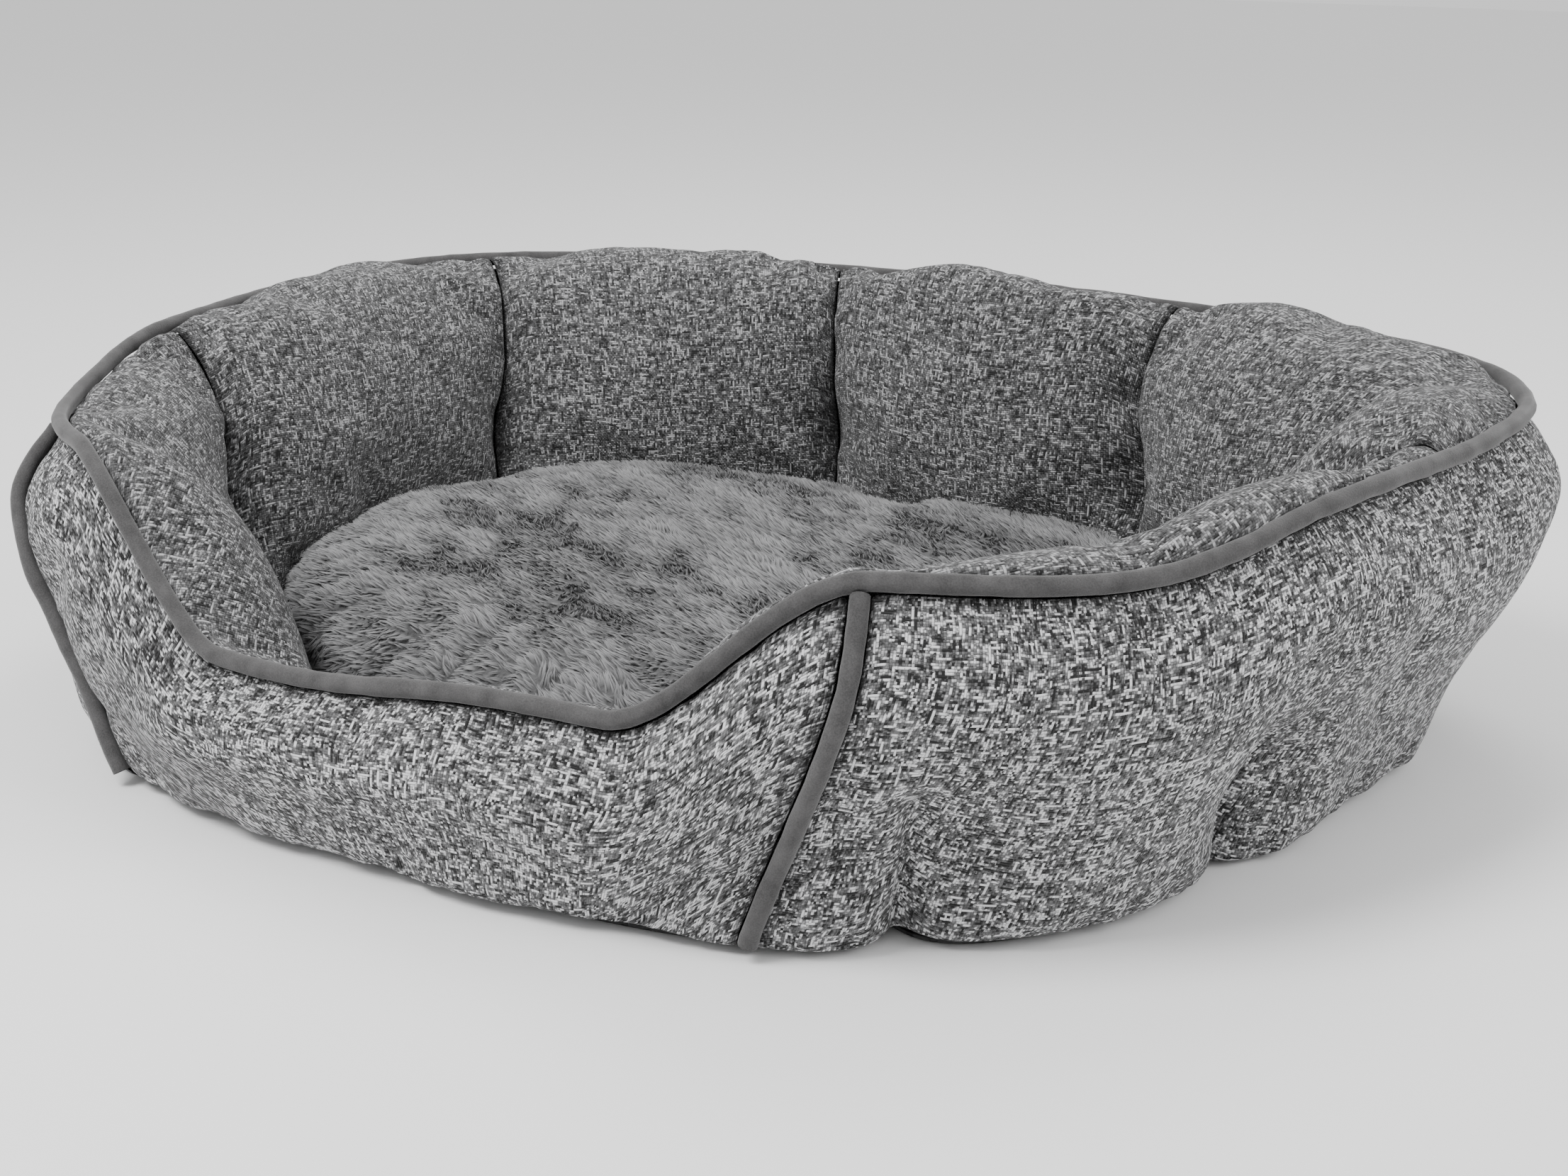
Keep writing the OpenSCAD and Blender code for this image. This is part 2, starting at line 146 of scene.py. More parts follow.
# %% [markdown]
# The ring is drawn round the middle of the bed. At each angle from the entry there is a
# distance to the base's outline, to the rim and to the foot of the inner wall, and a
# height for the rim. These are rounded rectangles that widen towards the back, the same
# ones as in the engineering model, in millimetres. Only the soft entry is let go a
# little: its rim sags on its left and stands up on its right.

# %% Outlines of the ring
BACK_WIDENING = 0.18
PIPING_R = 4.2
FABRIC, GAP, WADDING = 1.6, 0.4, 16
FLOOR_Z = 2 * FABRIC + 2 * GAP + WADDING
# each outline: half width, half depth, squareness, widening, how far back it lies
RIM_PLAN = (350, 266, 3.2, BACK_WIDENING, 2.8)
BASE_PLAN = (326, 272, 3.2, 0.8 * BACK_WIDENING, -5.2)
FOOT_PLAN = (270, 221, 2.4, BACK_WIDENING, -2.6)


def plan_rho(phi, half_w, half_d, square, widening, back):
    """Distance from the middle to a rounded rectangle that widens towards the back."""
    c, s = np.sin(np.radians(phi)), -np.cos(np.radians(phi))
    wide = (np.abs(c) / (half_w * (1 + widening * s))) ** square
    return (wide + (np.abs(s) / half_d) ** square) ** (-1 / square) + back * s


def rim_rho(phi):
    return plan_rho(phi, *RIM_PLAN)


def base_rho(phi):
    return plan_rho(phi, *BASE_PLAN)


def foot_rho(phi):
    return plan_rho(phi, *FOOT_PLAN)


def at(phi, rho, z):
    """Points of the bed at an angle, a distance from the middle and a height."""
    r = np.radians(phi)
    return np.stack([np.sin(r) * rho, -np.cos(r) * rho, z + 0 * rho], -1)


print("half width of the rim:", round(float(rim_rho(90.0)), 1), "mm")

# %% Height of the rim
ENTRY_H, ENTRY_SAG = 85, 12.0
# each rise: its height, the angle where it starts, how many degrees it takes
SIDE_RISE, SHOULDER_RISE, BACK_RISE = (74, 22, 21), (13, 43, 41), (9, 84, 96)
DIP, DIP_AT, DIP_WIDTH = 7, 63.5, 11


def smooth(x):
    """Step from 0 to 1 that starts and ends level."""
    x = np.clip(x, 0, 1)
    return x * x * (3 - 2 * x)


def climb(a, height, start, width, power=1.0):
    """Part of the rim's height that comes in over a range of angles."""
    return height * smooth((a - start) / width) ** power


def rim_h(phi):
    """Height of the rim, with the soft entry's slight sag to its left."""
    side = (phi + 900) % 360 - 180
    a = np.abs(side)
    sag = ENTRY_SAG * side / 20 * np.exp(-(side / 24) ** 2)
    return (ENTRY_H + sag + climb(a, *SIDE_RISE) + climb(a, *SHOULDER_RISE, power=1.5)
            + climb(a, *BACK_RISE) - DIP * np.exp(-(((a - DIP_AT) / DIP_WIDTH) ** 2)))


print("rim height at the entry and at the back:", rim_h(0.0), rim_h(180.0))

# %% [markdown]
# Ties run through the wall at eight angles, and six of them lie behind the seams that
# part the inner wall into chambers. A chamber is full in its middle and pulled tight at
# its seams, so the section of the wall is blended between a full and a tight profile.
# The outer wall bows out in one long curve, with a short dart at the foot of each tie.
# Each tie is an angle at the foot of the wall and one at its top. The tables hold eight
# steps along the section, as shares of its width and of its height.

# %% Ties and section tables
TIES = np.array([[-56, -50], [-70, -79], [-117, -123], [-164, -162],
                 [-213, -208], [-248, -246], [-284, -264], [-314, -316], [-416, -410],
                 [-430, -439]], float)
SEAMS = TIES[[1, 2, 3, 4, 5, 6, 9]]
ENTRY = 5
OUTER_SHARE = np.array([0, 0.02, 0.06, 0.248, 0.436, 0.624, 0.812, 1.0])
INNER_SHARE = np.array([1, 1, 1, 0.9, 0.76, 0.56, 0.36, 0.0])
FULL = np.array([[0, 0], [0.1, 0.75], [0.25, 1], [0.5, 0.6], [0.8, 0.84], [0.96, 0.62],
                 [1, 0.42], [0, 0]])
TIGHT = np.array([[0, 0], [0.14, 0.2], [0.26, -0.4], [0.44, -1.6], [0.62, 0.7],
                  [0.8, 0.52], [0.93, 0.36], [0, 0]])
FALL = np.array([0, 0.55, 0.95, 1, 0.3, 0.1, 0, 0])
ENTRY_FALL, PUFF, CREST = 19.0, 18.0, 13.0
print("ties at", TIES[:8, 0].tolist())

# %% Smooth curve
def spline(points, t):
    """Smooth curve through rows of points, t from 0 at the first to 1 at the last."""
    n = len(points)
    x = np.clip(np.asarray(t) * (n - 1), 0, n - 1 - 1e-9)
    i = x.astype(int)
    f = (x - i).reshape((-1,) + (1,) * (points.ndim - 1))
    p0, p1 = points[np.maximum(i - 1, 0)], points[i]
    p2, p3 = points[i + 1], points[np.minimum(i + 2, n - 1)]
    return 0.5 * (2 * p1 + (p2 - p0) * f + (2 * p0 - 5 * p1 + 4 * p2 - p3) * f * f
                  + (3 * p1 - p0 - 3 * p2 + p3) * f ** 3)


print("middle of a curve through 0, 1 and 4:", spline(np.array([0.0, 1.0, 4.0]), 0.5))

# %% Section of the outer wall
BOW, BOW_PEAK = 23.0, 0.72
BOW_POWER = math.log(0.5) / math.log(BOW_PEAK)
BASE_TUCK, BASE_FOLD, WALL_START = 13, 3.2, 14


def outer_section(phi):
    """Eight [rho, z] points of the outer wall at each angle, from its fold to the rim."""
    base, rim, h = base_rho(phi), rim_rho(phi), rim_h(phi)
    slope = (rim_h(phi + 1) - rim_h(phi - 1)) / (rim * math.pi / 90)
    under = h - (PIPING_R + GAP) * np.sqrt(1 + slope ** 2) - GAP
    rows = [[base - BASE_TUCK, 2 + 0 * h], [base - BASE_FOLD, 5.1 + 0 * h]]
    for k in range(2, 8):
        g = (k - 2) / 5
        bow = BOW * math.sin(math.pi * g ** BOW_POWER) ** 0.8 if 0 < g < 1 else 0
        rows.append([base + (rim - PIPING_R / 3 - base) * g + bow,
                     WALL_START + (under - WALL_START) * g])
    return np.array([[np.broadcast_to(r, phi.shape), np.broadcast_to(z, phi.shape)]
                     for r, z in rows])


print("outer wall at the entry ends at", outer_section(np.zeros(1))[-1].ravel().round(1), "mm")

# %% Section of the inner wall
CREST_STEPS, FALL_FROM, FALL_OVER = 4, 36, 38


def inner_section(phi, fullness):
    """Eight [rho, z] points of the inner wall, from the rim over the crest to the foot."""
    rim, foot, h = rim_rho(phi), foot_rho(phi), rim_h(phi)
    start = rim - PIPING_R - GAP
    away = np.abs((phi + 900) % 360 - 180)
    fall = ENTRY_FALL * (1 - smooth((away - FALL_FROM) / FALL_OVER))
    rows = []
    for j in range(8):
        full = [start - (start - foot + PUFF) * FULL[j, 0],
                (h + FULL[j, 1] * CREST if j < CREST_STEPS else FULL[j, 1] * h)
                - fall * FALL[j]]
        tight = [start - (start - foot) * TIGHT[j, 0],
                 h + TIGHT[j, 1] * CREST if j < CREST_STEPS else TIGHT[j, 1] * h]
        if j == 0:
            full = tight = [start, h - FABRIC]
        if j == 7:
            full = tight = [foot, FLOOR_Z + GAP + 0 * h]
        rows.append([t + (f - t) * fullness for t, f in zip(tight, full)])
    return np.array(rows)


print("inner wall at the entry ends at", inner_section(np.zeros(1), 1)[-1].ravel().round(1), "mm")

# %% [markdown]
# A sheet of points in rows and columns is the simplest thing to shape, to inflate and to
# give a weave, because its rows and columns are also the directions of the yarns. Rows
# run round the ring and columns run up or over the wall, so the outward side is always
# the same. The UV map is measured along the cloth in metres.

# %% Sheets of cloth as grids
def link(mesh, name):
    """Object of a mesh, put into the scene."""
    obj = bpy.data.objects.new(name, mesh)
    scene.collection.objects.link(obj)
    return obj


def grid_mesh(name, points, closed=False, turn=0.0, weld=False):
    """Mesh over a grid of points in millimetres; turn skews its yarns, in radians."""
    rows, cols = points.shape[:2]
    wide = np.concatenate([points, points[:1]]) if closed else points
    du = np.linalg.norm(np.diff(wide, axis=0), axis=-1).mean(1)
    dv = np.linalg.norm(np.diff(wide, axis=1), axis=-1)
    u = np.concatenate([[0], np.cumsum(du)])[:, None] + 0 * wide[..., 0]
    v = np.concatenate([0 * dv[:, :1], np.cumsum(dv, 1)], 1)
    v = v - v[:, -1:]
    r, c = np.meshgrid(np.arange(len(wide) - 1), np.arange(cols - 1), indexing="ij")
    corners = [(r, c), (r + 1, c), (r + 1, c + 1), (r, c + 1)]
    faces = np.stack([(i % rows) * cols + j for i, j in corners], -1).reshape(-1, 4)
    flat = np.stack([np.stack([u[i, j], v[i, j]], -1) for i, j in corners], -2) * MM
    spin = np.array([[math.cos(turn), math.sin(turn)], [-math.sin(turn), math.cos(turn)]])
    mesh = bpy.data.meshes.new(name)
    mesh.from_pydata((points.reshape(-1, 3) * MM).tolist(), [], faces.tolist())
    mesh.uv_layers.new(name="cloth").data.foreach_set("uv", (flat @ spin).ravel())
    if weld:
        work = bmesh.new()
        work.from_mesh(mesh)
        bmesh.ops.remove_doubles(work, verts=work.verts, dist=1e-6)
        work.to_mesh(mesh)
        work.free()
    mesh.shade_smooth()
    return mesh


print("a sheet is a mesh over a grid, with a UV map in metres")

# %% Relief and marks on a sheet
def grid_normals(points):
    """Outward unit vectors at the points of a grid."""
    n = np.cross(np.gradient(points, axis=0), np.gradient(points, axis=1))
    return n / (np.linalg.norm(n, axis=-1, keepdims=True) + 1e-9)


def waves(points, size, seed, octaves=3):
    """Smooth noise between about -1 and 1, its waves size millimetres long."""
    local = np.random.default_rng(seed)
    total = 0 * points[..., 0]
    for octave in range(octaves):
        for _ in range(10):
            way = local.normal(size=3)
            way *= (2 ** octave) * 2 * math.pi / size / np.linalg.norm(way)
            total += np.sin(points @ way + local.uniform(0, 6.28)) * 0.22 / (1.7 ** octave)
    return total


def mark_seams(obj, values):
    """Keeps how near each point is to a stitched edge, as a mask for painted shade in the material.
    """
    layer = obj.data.attributes.new("seam", "FLOAT", "POINT")
    layer.data.foreach_set("value", np.asarray(values, np.float32).ravel())


def angle_of(co):
    """Angle from the entry and distance from the middle, of points."""
    return np.degrees(np.arctan2(co[..., 0], -co[..., 1])), np.hypot(co[..., 0], co[..., 1])


print("relief helpers ready")

# %% [markdown]
# Stuffed cloth is not a smooth shell: the sheet is cut a little larger than the shape it
# covers, so it puckers where stitches hold it and swells where nothing does. A short
# cloth simulation finds those folds. The sheet is pinned along its seams and at its
# ties, given a few per cent of spare cloth, and pressed outwards for twenty frames. How
# far a point may move is capped, so the bed keeps its size.

# %% Stuffing a sheet
TENSION, SHEAR, FRAMES, QUALITY, SHEET_MASS = 12, 5, 20, 5, 0.25


def read_points(mesh):
    """Places of a mesh's points, in metres."""
    co = np.zeros(len(mesh.vertices) * 3, np.float32)
    mesh.vertices.foreach_get("co", co)
    return co.reshape(-1, 3).astype(float)


def inflate(obj, pinned, pressure, cap, spare=0.04, bend=0.4):
    """Cloth simulation of a pinned sheet, applied to its mesh; cap in millimetres."""
    mesh = obj.data
    before = read_points(mesh)
    group = obj.vertex_groups.new(name="pinned")
    group.add(np.nonzero(pinned.ravel())[0].tolist(), 1.0, "REPLACE")
    cloth = obj.modifiers.new("cloth", "CLOTH")
    s = cloth.settings
    s.quality = QUALITY
    s.mass = SHEET_MASS
    s.tension_stiffness = s.compression_stiffness = TENSION
    s.shear_stiffness = SHEAR
    s.bending_stiffness = bend
    s.vertex_group_mass = "pinned"
    s.effector_weights.gravity = 0
    s.use_pressure = True
    s.uniform_pressure_force = pressure
    s.shrink_min = -spare
    cloth.point_cache.frame_start, cloth.point_cache.frame_end = 1, FRAMES
    for frame_number in range(1, FRAMES + 1):
        scene.frame_set(frame_number)
    shaped = obj.evaluated_get(bpy.context.evaluated_depsgraph_get())
    move = (read_points(shaped.data) - before) * 1000
    length = np.linalg.norm(move, axis=1, keepdims=True)
    move *= cap * np.tanh(length / cap) / (length + 1e-9)
    obj.modifiers.remove(cloth)
    obj.vertex_groups.remove(group)
    scene.frame_set(1)
    mesh.vertices.foreach_set("co", (before + move * MM).ravel())
    mesh.update()
    print(obj.name, "moved by up to", round(float(length.max()), 1), "mm before the cap")


print("simulation", "on")

# %% Finishing a sheet
CLOTH_THICKNESS = 1.2


def keep_out(obj, limit):
    """Stops a wall's cloth short of the cushion's place; limit is a distance at an angle."""
    co = read_points(obj.data)
    phi, rho = angle_of(co)
    short = np.maximum(limit(phi) * MM - rho, 0)
    co[:, :2] *= (1 + short / rho)[:, None]
    obj.data.vertices.foreach_set("co", co.ravel())
    obj.data.update()


def thicken(obj, thickness, offset):
    """Gives a sheet its thickness, in millimetres; offset -1 is all on the inside."""
    thick = obj.modifiers.new("thickness", "SOLIDIFY")
    thick.thickness = thickness * MM
    thick.offset = offset


def round_off(obj):
    """One round of smoothing."""
    soft = obj.modifiers.new("smooth", "SUBSURF")
    soft.levels = soft.render_levels = 1


print("sheets are", CLOTH_THICKNESS, "mm thick")

# %% [markdown]
# The cloth is a linen-look weave: thick and thin yarns, some nearly black and some nearly
# white, that change along their length. Each yarn's colour is a noise that is long along
# the yarn and new on the next yarn. Two such sets cross, and which one lies on top
# follows the over and under of a plain weave, except that the strongest yarns float over
# more of their neighbours. One node group does it, because the outer cloth, the inner
# cloth and the lining all share it.

# %% Helpers for nodes
class Nodes:
    """Short way to add and join the nodes of a tree."""

    def __init__(self, tree):
        self.tree = tree

    def add(self, kind, inputs=(), **settings):
        node = self.tree.nodes.new("ShaderNode" + kind)
        for key, value in settings.items():
            setattr(node, key, value)
        for key, value in dict(inputs).items():
            if isinstance(value, bpy.types.NodeSocket):
                self.tree.links.new(value, node.inputs[key])
            else:
                node.inputs[key].default_value = value
        return node

    def math(self, operation, a, b=0.0, c=0.0, clamp=False):
        """Value of a Math node."""
        node = self.add("Math", {0: a, 1: b, 2: c}, operation=operation, use_clamp=clamp)
        return node.outputs[0]

    def mix(self, factor, a, b):
        """Colour between two others."""
        node = self.add("Mix", {0: factor, 6: a, 7: b}, data_type="RGBA")
        return node.outputs[2]

    def range(self, value, low, high, start=0.0, end=1.0):
        """Value moved from one range to another, and held at its ends."""
        node = self.add("MapRange", {0: value, 1: low, 2: high, 3: start, 4: end})
        return node.outputs[0]


print("node helpers ready")

# %% Empty node group
def new_group(name, inputs, outputs):
    """Empty node group with named sockets, and the places to join its nodes to."""
    group = bpy.data.node_groups.new(name, "ShaderNodeTree")
    for label, kind, value in inputs:
        socket = group.interface.new_socket(label, in_out="INPUT", socket_type=kind)
        if value is not None:
            socket.default_value = value
    for label, kind in outputs:
        group.interface.new_socket(label, in_out="OUTPUT", socket_type=kind)
    source = group.nodes.new("NodeGroupInput")
    sink = group.nodes.new("NodeGroupOutput")
    return group, Nodes(group), source.outputs, sink.inputs


print("groups can be made")

# %% Yarns
YARN_PITCH, YARN_LENGTH, YARN_STEP = 0.00115, 5.2, 7.31
VALUE, COLOR, VECTOR = "NodeSocketFloat", "NodeSocketColor", "NodeSocketVector"
weave, w, given, result = new_group(
    "slub weave",
    [("Vector", VECTOR, None), ("Pitch", VALUE, YARN_PITCH),
     ("Yarn Length", VALUE, YARN_LENGTH),
     ("Dark", COLOR, (0.02, 0.02, 0.02, 1)), ("Mid", COLOR, (0.2, 0.2, 0.2, 1)),
     ("Light", COLOR, (0.7, 0.7, 0.7, 1)), ("Contrast", VALUE, 1.0)],
    [("Color", COLOR), ("Height", VALUE)])


def yarn_set(across, along, seed):
    """Number, tone, round profile and strength of the yarns that run one way."""
    row = w.math("FLOOR", across)
    part = w.math("SUBTRACT", across, row)
    run = w.math("DIVIDE", along, given["Yarn Length"])
    place = w.add("CombineXYZ", {"X": run, "Y": w.math("MULTIPLY_ADD", row, YARN_STEP, seed)})
    noise = w.add("TexNoise", {"Vector": place.outputs[0], "Scale": 1.0, "Detail": 2.5,
                               "Roughness": 0.65}, noise_dimensions="2D")
    strong = w.math("ABSOLUTE", w.math("SUBTRACT", noise.outputs["Fac"], 0.49))
    centre = w.math("MULTIPLY_ADD", part, 2.0, -1.0)
    roundness = w.math("SUBTRACT", 1.0, w.math("MULTIPLY", centre, centre))
    return row, noise.outputs["Fac"], roundness, strong


yarns = w.add("VectorMath", {0: given["Vector"], 3: 1.0}, operation="SCALE")
w.tree.links.new(w.math("DIVIDE", 1.0, given["Pitch"]), yarns.inputs["Scale"])
wobble = w.add("TexNoise", {"Vector": yarns.outputs[0], "Scale": 0.05, "Detail": 1.0})
shift = w.add("VectorMath", {0: wobble.outputs["Color"], 1: (3.0, 3.0, 0),
                             2: (-1.5, -1.5, 0)}, operation="MULTIPLY_ADD")
bent = w.add("VectorMath", {0: yarns.outputs[0], 1: shift.outputs[0]}, operation="ADD")
axes = w.add("SeparateXYZ", {0: bent.outputs[0]})
weft_row, weft, weft_round, weft_strong = yarn_set(axes.outputs["Y"], axes.outputs["X"], 0.0)
warp_row, warp, warp_round, warp_strong = yarn_set(axes.outputs["X"], axes.outputs["Y"], 311.7)
print("two sets of yarns,", YARN_PITCH * 1000, "mm apart")

# %% Weave
over = w.math("PINGPONG", w.math("ADD", weft_row, warp_row), 1.0)
floats = w.add("TexNoise", {"Vector": bent.outputs[0], "Scale": 0.33, "Detail": 1.0},
               noise_dimensions="2D")
lean = w.math("MULTIPLY_ADD", w.math("SUBTRACT", warp_strong, weft_strong), 6.0,
              w.math("MULTIPLY_ADD", floats.outputs["Fac"], 1.6, -0.8))
top = w.range(w.math("ADD", w.math("MULTIPLY_ADD", over, 1.1, -0.55), lean), -0.18, 0.18)
tone = w.add("Mix", {0: top, 2: weft, 3: warp}).outputs[0]
tone = w.math("MULTIPLY_ADD", w.math("SUBTRACT", tone, 0.5), given["Contrast"], 0.5)
shape = w.add("Mix", {0: top, 2: weft_round, 3: warp_round}).outputs[0]
low_mix = w.mix(w.range(tone, 0.3, 0.5), given["Dark"], given["Mid"])
full_mix = w.mix(w.range(tone, 0.55, 0.7), low_mix, given["Light"])
# Colour darkens towards the edges of each yarn: painted shade in the gaps between yarns.
painted_gap_shade = w.range(shape, 0.0, 0.6, 0.3, 1.0)
shaded = w.add("Mix", {0: 1.0, 6: full_mix, 7: painted_gap_shade}, data_type="RGBA", blend_type="MULTIPLY")
w.tree.links.new(shaded.outputs[2], result["Color"])
w.tree.links.new(w.math("MULTIPLY_ADD", tone, 0.5, shape), result["Height"])
print("weave group has", len(weave.nodes), "nodes")

# %% [markdown]
# Dyed cloth is never one grey. A second group gives a soft mottle: a slow noise that
# lightens and darkens a colour. It also paints shade into the fold where two panels
# meet, from a near-seam mask. Every material of the bed uses it, except the thread.

# %% Mottle and painted seam shade as a node group
mottle_and_seam_shade, m, given_m, result_m = new_group(
    "mottle and seams",
    [("Color", COLOR, (0.5, 0.5, 0.5, 1)), ("Size", VALUE, 0.03), ("Strength", VALUE, 0.1),
     ("Seam Strength", VALUE, 0.6)],
    [("Color", COLOR)])
place = m.add("NewGeometry")
scaled = m.add("VectorMath", {0: place.outputs["Position"]}, operation="SCALE")
m.tree.links.new(m.math("DIVIDE", 1.0, given_m["Size"]), scaled.inputs["Scale"])
cloud = m.add("TexNoise", {"Vector": scaled.outputs[0], "Scale": 1.0, "Detail": 3.0})
bright = m.math("MULTIPLY_ADD", m.math("SUBTRACT", cloud.outputs["Fac"], 0.5),
                m.math("MULTIPLY", given_m["Strength"], 2.0), 1.0)
# The near-seam mask darkens the colour: painted shade in the fold between panels.
seam = m.add("Attribute", attribute_name="seam")
shade = m.math("SUBTRACT", 1.0, m.math("MULTIPLY", seam.outputs["Fac"],
                                       given_m["Seam Strength"]), clamp=True)
both = m.add("VectorMath", {0: given_m["Color"]}, operation="SCALE")
m.tree.links.new(m.math("MULTIPLY", bright, shade), both.inputs["Scale"])
m.tree.links.new(both.outputs[0], result_m["Color"])
print("mottle group has", len(mottle_and_seam_shade.nodes), "nodes")

# %% Helpers for materials
def new_material(name, roughness):
    """Material with its nodes and its shader."""
    material = plain_material(name, (0.5, 0.5, 0.5), roughness)
    tree = material.node_tree
    return material, Nodes(tree), tree.nodes["Principled BSDF"]


def place_group(nodes, group, **inputs):
    """A node group placed in a material, with its own values."""
    node = nodes.tree.nodes.new("ShaderNodeGroup")
    node.node_tree = group
    for key, value in inputs.items():
        socket = node.inputs[key.replace("_", " ")]
        if isinstance(value, bpy.types.NodeSocket):
            nodes.tree.links.new(value, socket)
        else:
            socket.default_value = value
    return node


def grey(value, warm=0.0):
    """Grey of a given strength, a little warm or a little cool."""
    return (value * (1 + warm), value, value * (1 - warm / 2 + 0.015), 1)


def surface(nodes, shader, color, height, distance, strength=1.0):
    """Joins a colour to the shader, and a height as its relief in metres."""
    bump = nodes.add("Bump", {"Height": height, "Distance": distance, "Strength": strength})
    nodes.tree.links.new(color, shader.inputs["Base Color"])
    nodes.tree.links.new(bump.outputs["Normal"], shader.inputs["Normal"])


def set_nap(shader, sheen, spread, gloss):
    """Pale sheen of short fibres and the dullness of cloth."""
    shader.inputs["Sheen Weight"].default_value = sheen
    shader.inputs["Sheen Roughness"].default_value = spread
    shader.inputs["Specular IOR Level"].default_value = gloss


print("material helpers ready")

# %% Woven cloth
def woven_material(name, dark, mid, light, contrast, height):
    """Matte slubby cloth that reads its yarns from the cloth UV map."""
    material, nodes, shader = new_material(name, 0.92)
    uv = nodes.add("UVMap", uv_map="cloth")
    cloth = place_group(nodes, weave, Vector=uv.outputs[0], Dark=grey(dark), Mid=grey(mid),
                        Light=grey(light), Contrast=contrast)
    # The group also paints shade near the seams of this cloth.
    tint = place_group(nodes, mottle_and_seam_shade, Color=cloth.outputs["Color"], Size=0.045,
                       Strength=0.16, Seam_Strength=0.7)
    surface(nodes, shader, tint.outputs["Color"], cloth.outputs["Height"], height, 0.7)
    set_nap(shader, 0.12, 0.5, 0.2)
    return material


outer_cloth = woven_material("woven outer", 0.014, 0.135, 0.68, 1.5, 0.0007)
inner_cloth = woven_material("woven inner", 0.018, 0.105, 0.4, 1.25, 0.0006)
print("woven materials:", outer_cloth.name, "and", inner_cloth.name)

# %% [markdown]
# The outer wall is two panels: a low one across the entry and a long one round the rest.
# They bow out above the base, and ties pull them in at the foot in short darts. A dart is
# a sharp groove with a dimple at its top, so it is cut into the shape before the
# simulation, which then throws the wrinkles that run to it. It is cut deeper than in
# the engineering model, because stuffed cloth folds right in at a tie.

# %% Darts
DART_FEET = TIES[:8, 0]
DART_DEPTH, DART_WIDTH, DART_HEIGHT, DIMPLE_AT = 26.0, 7.0, 82.0, 0.8
HOLLOW, HOLLOW_WIDTH, HOLLOW_AT, HOLLOW_TALL = 7, 26, 30, 42
DIMPLE, DIMPLE_WIDTH, DIMPLE_TALL = 5, 11, 13


def along_base(phi, foot):
    """Distance along the base from a tie's foot, in millimetres."""
    return ((phi - foot + 900) % 360 - 180) * np.radians(1) * base_rho(phi)


def dart_pull(phi, z):
    """How far the darts pull the wall in: a groove in a wide hollow, and a dimple on top."""
    pull = 0 * phi
    for foot in DART_FEET:
        s = along_base(phi, foot)
        fade = np.clip(1 - z / DART_HEIGHT, 0, 1) ** 0.7
        groove = DART_DEPTH * np.exp(-np.abs(s) / DART_WIDTH) * fade
        wide = HOLLOW * np.exp(-(s / HOLLOW_WIDTH) ** 2)
        wide = wide * np.exp(-((z - HOLLOW_AT) / HOLLOW_TALL) ** 2)
        above = (z - DIMPLE_AT * DART_HEIGHT) / DIMPLE_TALL
        dimple = DIMPLE * np.exp(-(s / DIMPLE_WIDTH) ** 2 - above ** 2)
        pull = np.maximum(pull, groove + wide + dimple)
    return pull


print(len(DART_FEET), "darts,", DART_HEIGHT, "mm high")

# %% Grid of an outer panel
CORNER_FOOT, CORNER_TOP = (-34.0, 34.0), (-54.0, 42.0)


def outer_points(foot, top, rows, cols):
    """Grid of an outer panel between its two ends, each an angle at foot and top."""
    u = np.linspace(0, 1, rows)[:, None]
    t = np.linspace(0, 1, cols)
    share = spline(OUTER_SHARE, t)[None]
    a, b = foot[0] + (foot[1] - foot[0]) * u, top[0] + (top[1] - top[0]) * u
    phi = a + (b - a) * share
    points = np.zeros((rows, cols, 3))
    for j in range(cols):
        rho, z = spline(outer_section(phi[:, j]), t[j:j + 1])[0]
        points[:, j] = at(phi[:, j], rho - dart_pull(phi[:, j], z), z)
    return points, phi


print("corner pipings at", CORNER_FOOT, "degrees at the foot and", CORNER_TOP, "at the top")

# %% Outer panels
OUTER_COLUMNS, STEP, EDGE = 40, 5, 0.75
PANEL_PRESSURE, PANEL_CAP, TIE_HOLD = 2.5, 7, 4.5


def outer_panel(name, foot, top, rows, turn):
    """Outer panel with its gathers, stuffed and finished."""
    points, phi = outer_points(foot, top, rows, OUTER_COLUMNS)
    end = np.minimum(np.arange(rows), np.arange(rows)[::-1])[:, None]
    rim = np.linalg.norm(points - points[:, -1:], axis=-1)
    gather = np.exp(-rim / 11) * waves(points, 13, seed=3, octaves=1)
    side = np.exp(-end * STEP / 10) * waves(points, 16, seed=4, octaves=1)
    slack = np.minimum(1, rim / 30) * np.minimum(1, end / 5)
    bumps = waves(points, 120, seed=5, octaves=2) * 1.6 * slack
    points += grid_normals(points) * (gather + 0.8 * side + bumps)[..., None]
    obj = link(grid_mesh(name, points, turn=turn), name)
    pins = np.zeros(points.shape[:2], bool)
    pins[:1] = pins[-1:] = True
    pins[:, -1] = pins[:, :6] = True
    for foot_angle in DART_FEET:
        near = np.abs(along_base(phi, foot_angle)) < TIE_HOLD
        pins |= near & (points[..., 2] < DIMPLE_AT * DART_HEIGHT)
    inflate(obj, pins, PANEL_PRESSURE, PANEL_CAP)
    # Painted shade near the rim and at both ends of the panel.
    mark_seams(obj, np.exp(-rim / 2.5) * 0.8 + np.exp(-end * STEP / 2.5) * 0.8)
    thicken(obj, CLOTH_THICKNESS, -1)
    round_off(obj)
    obj.data.materials.append(outer_cloth)
    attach(obj, "bed")
    return obj


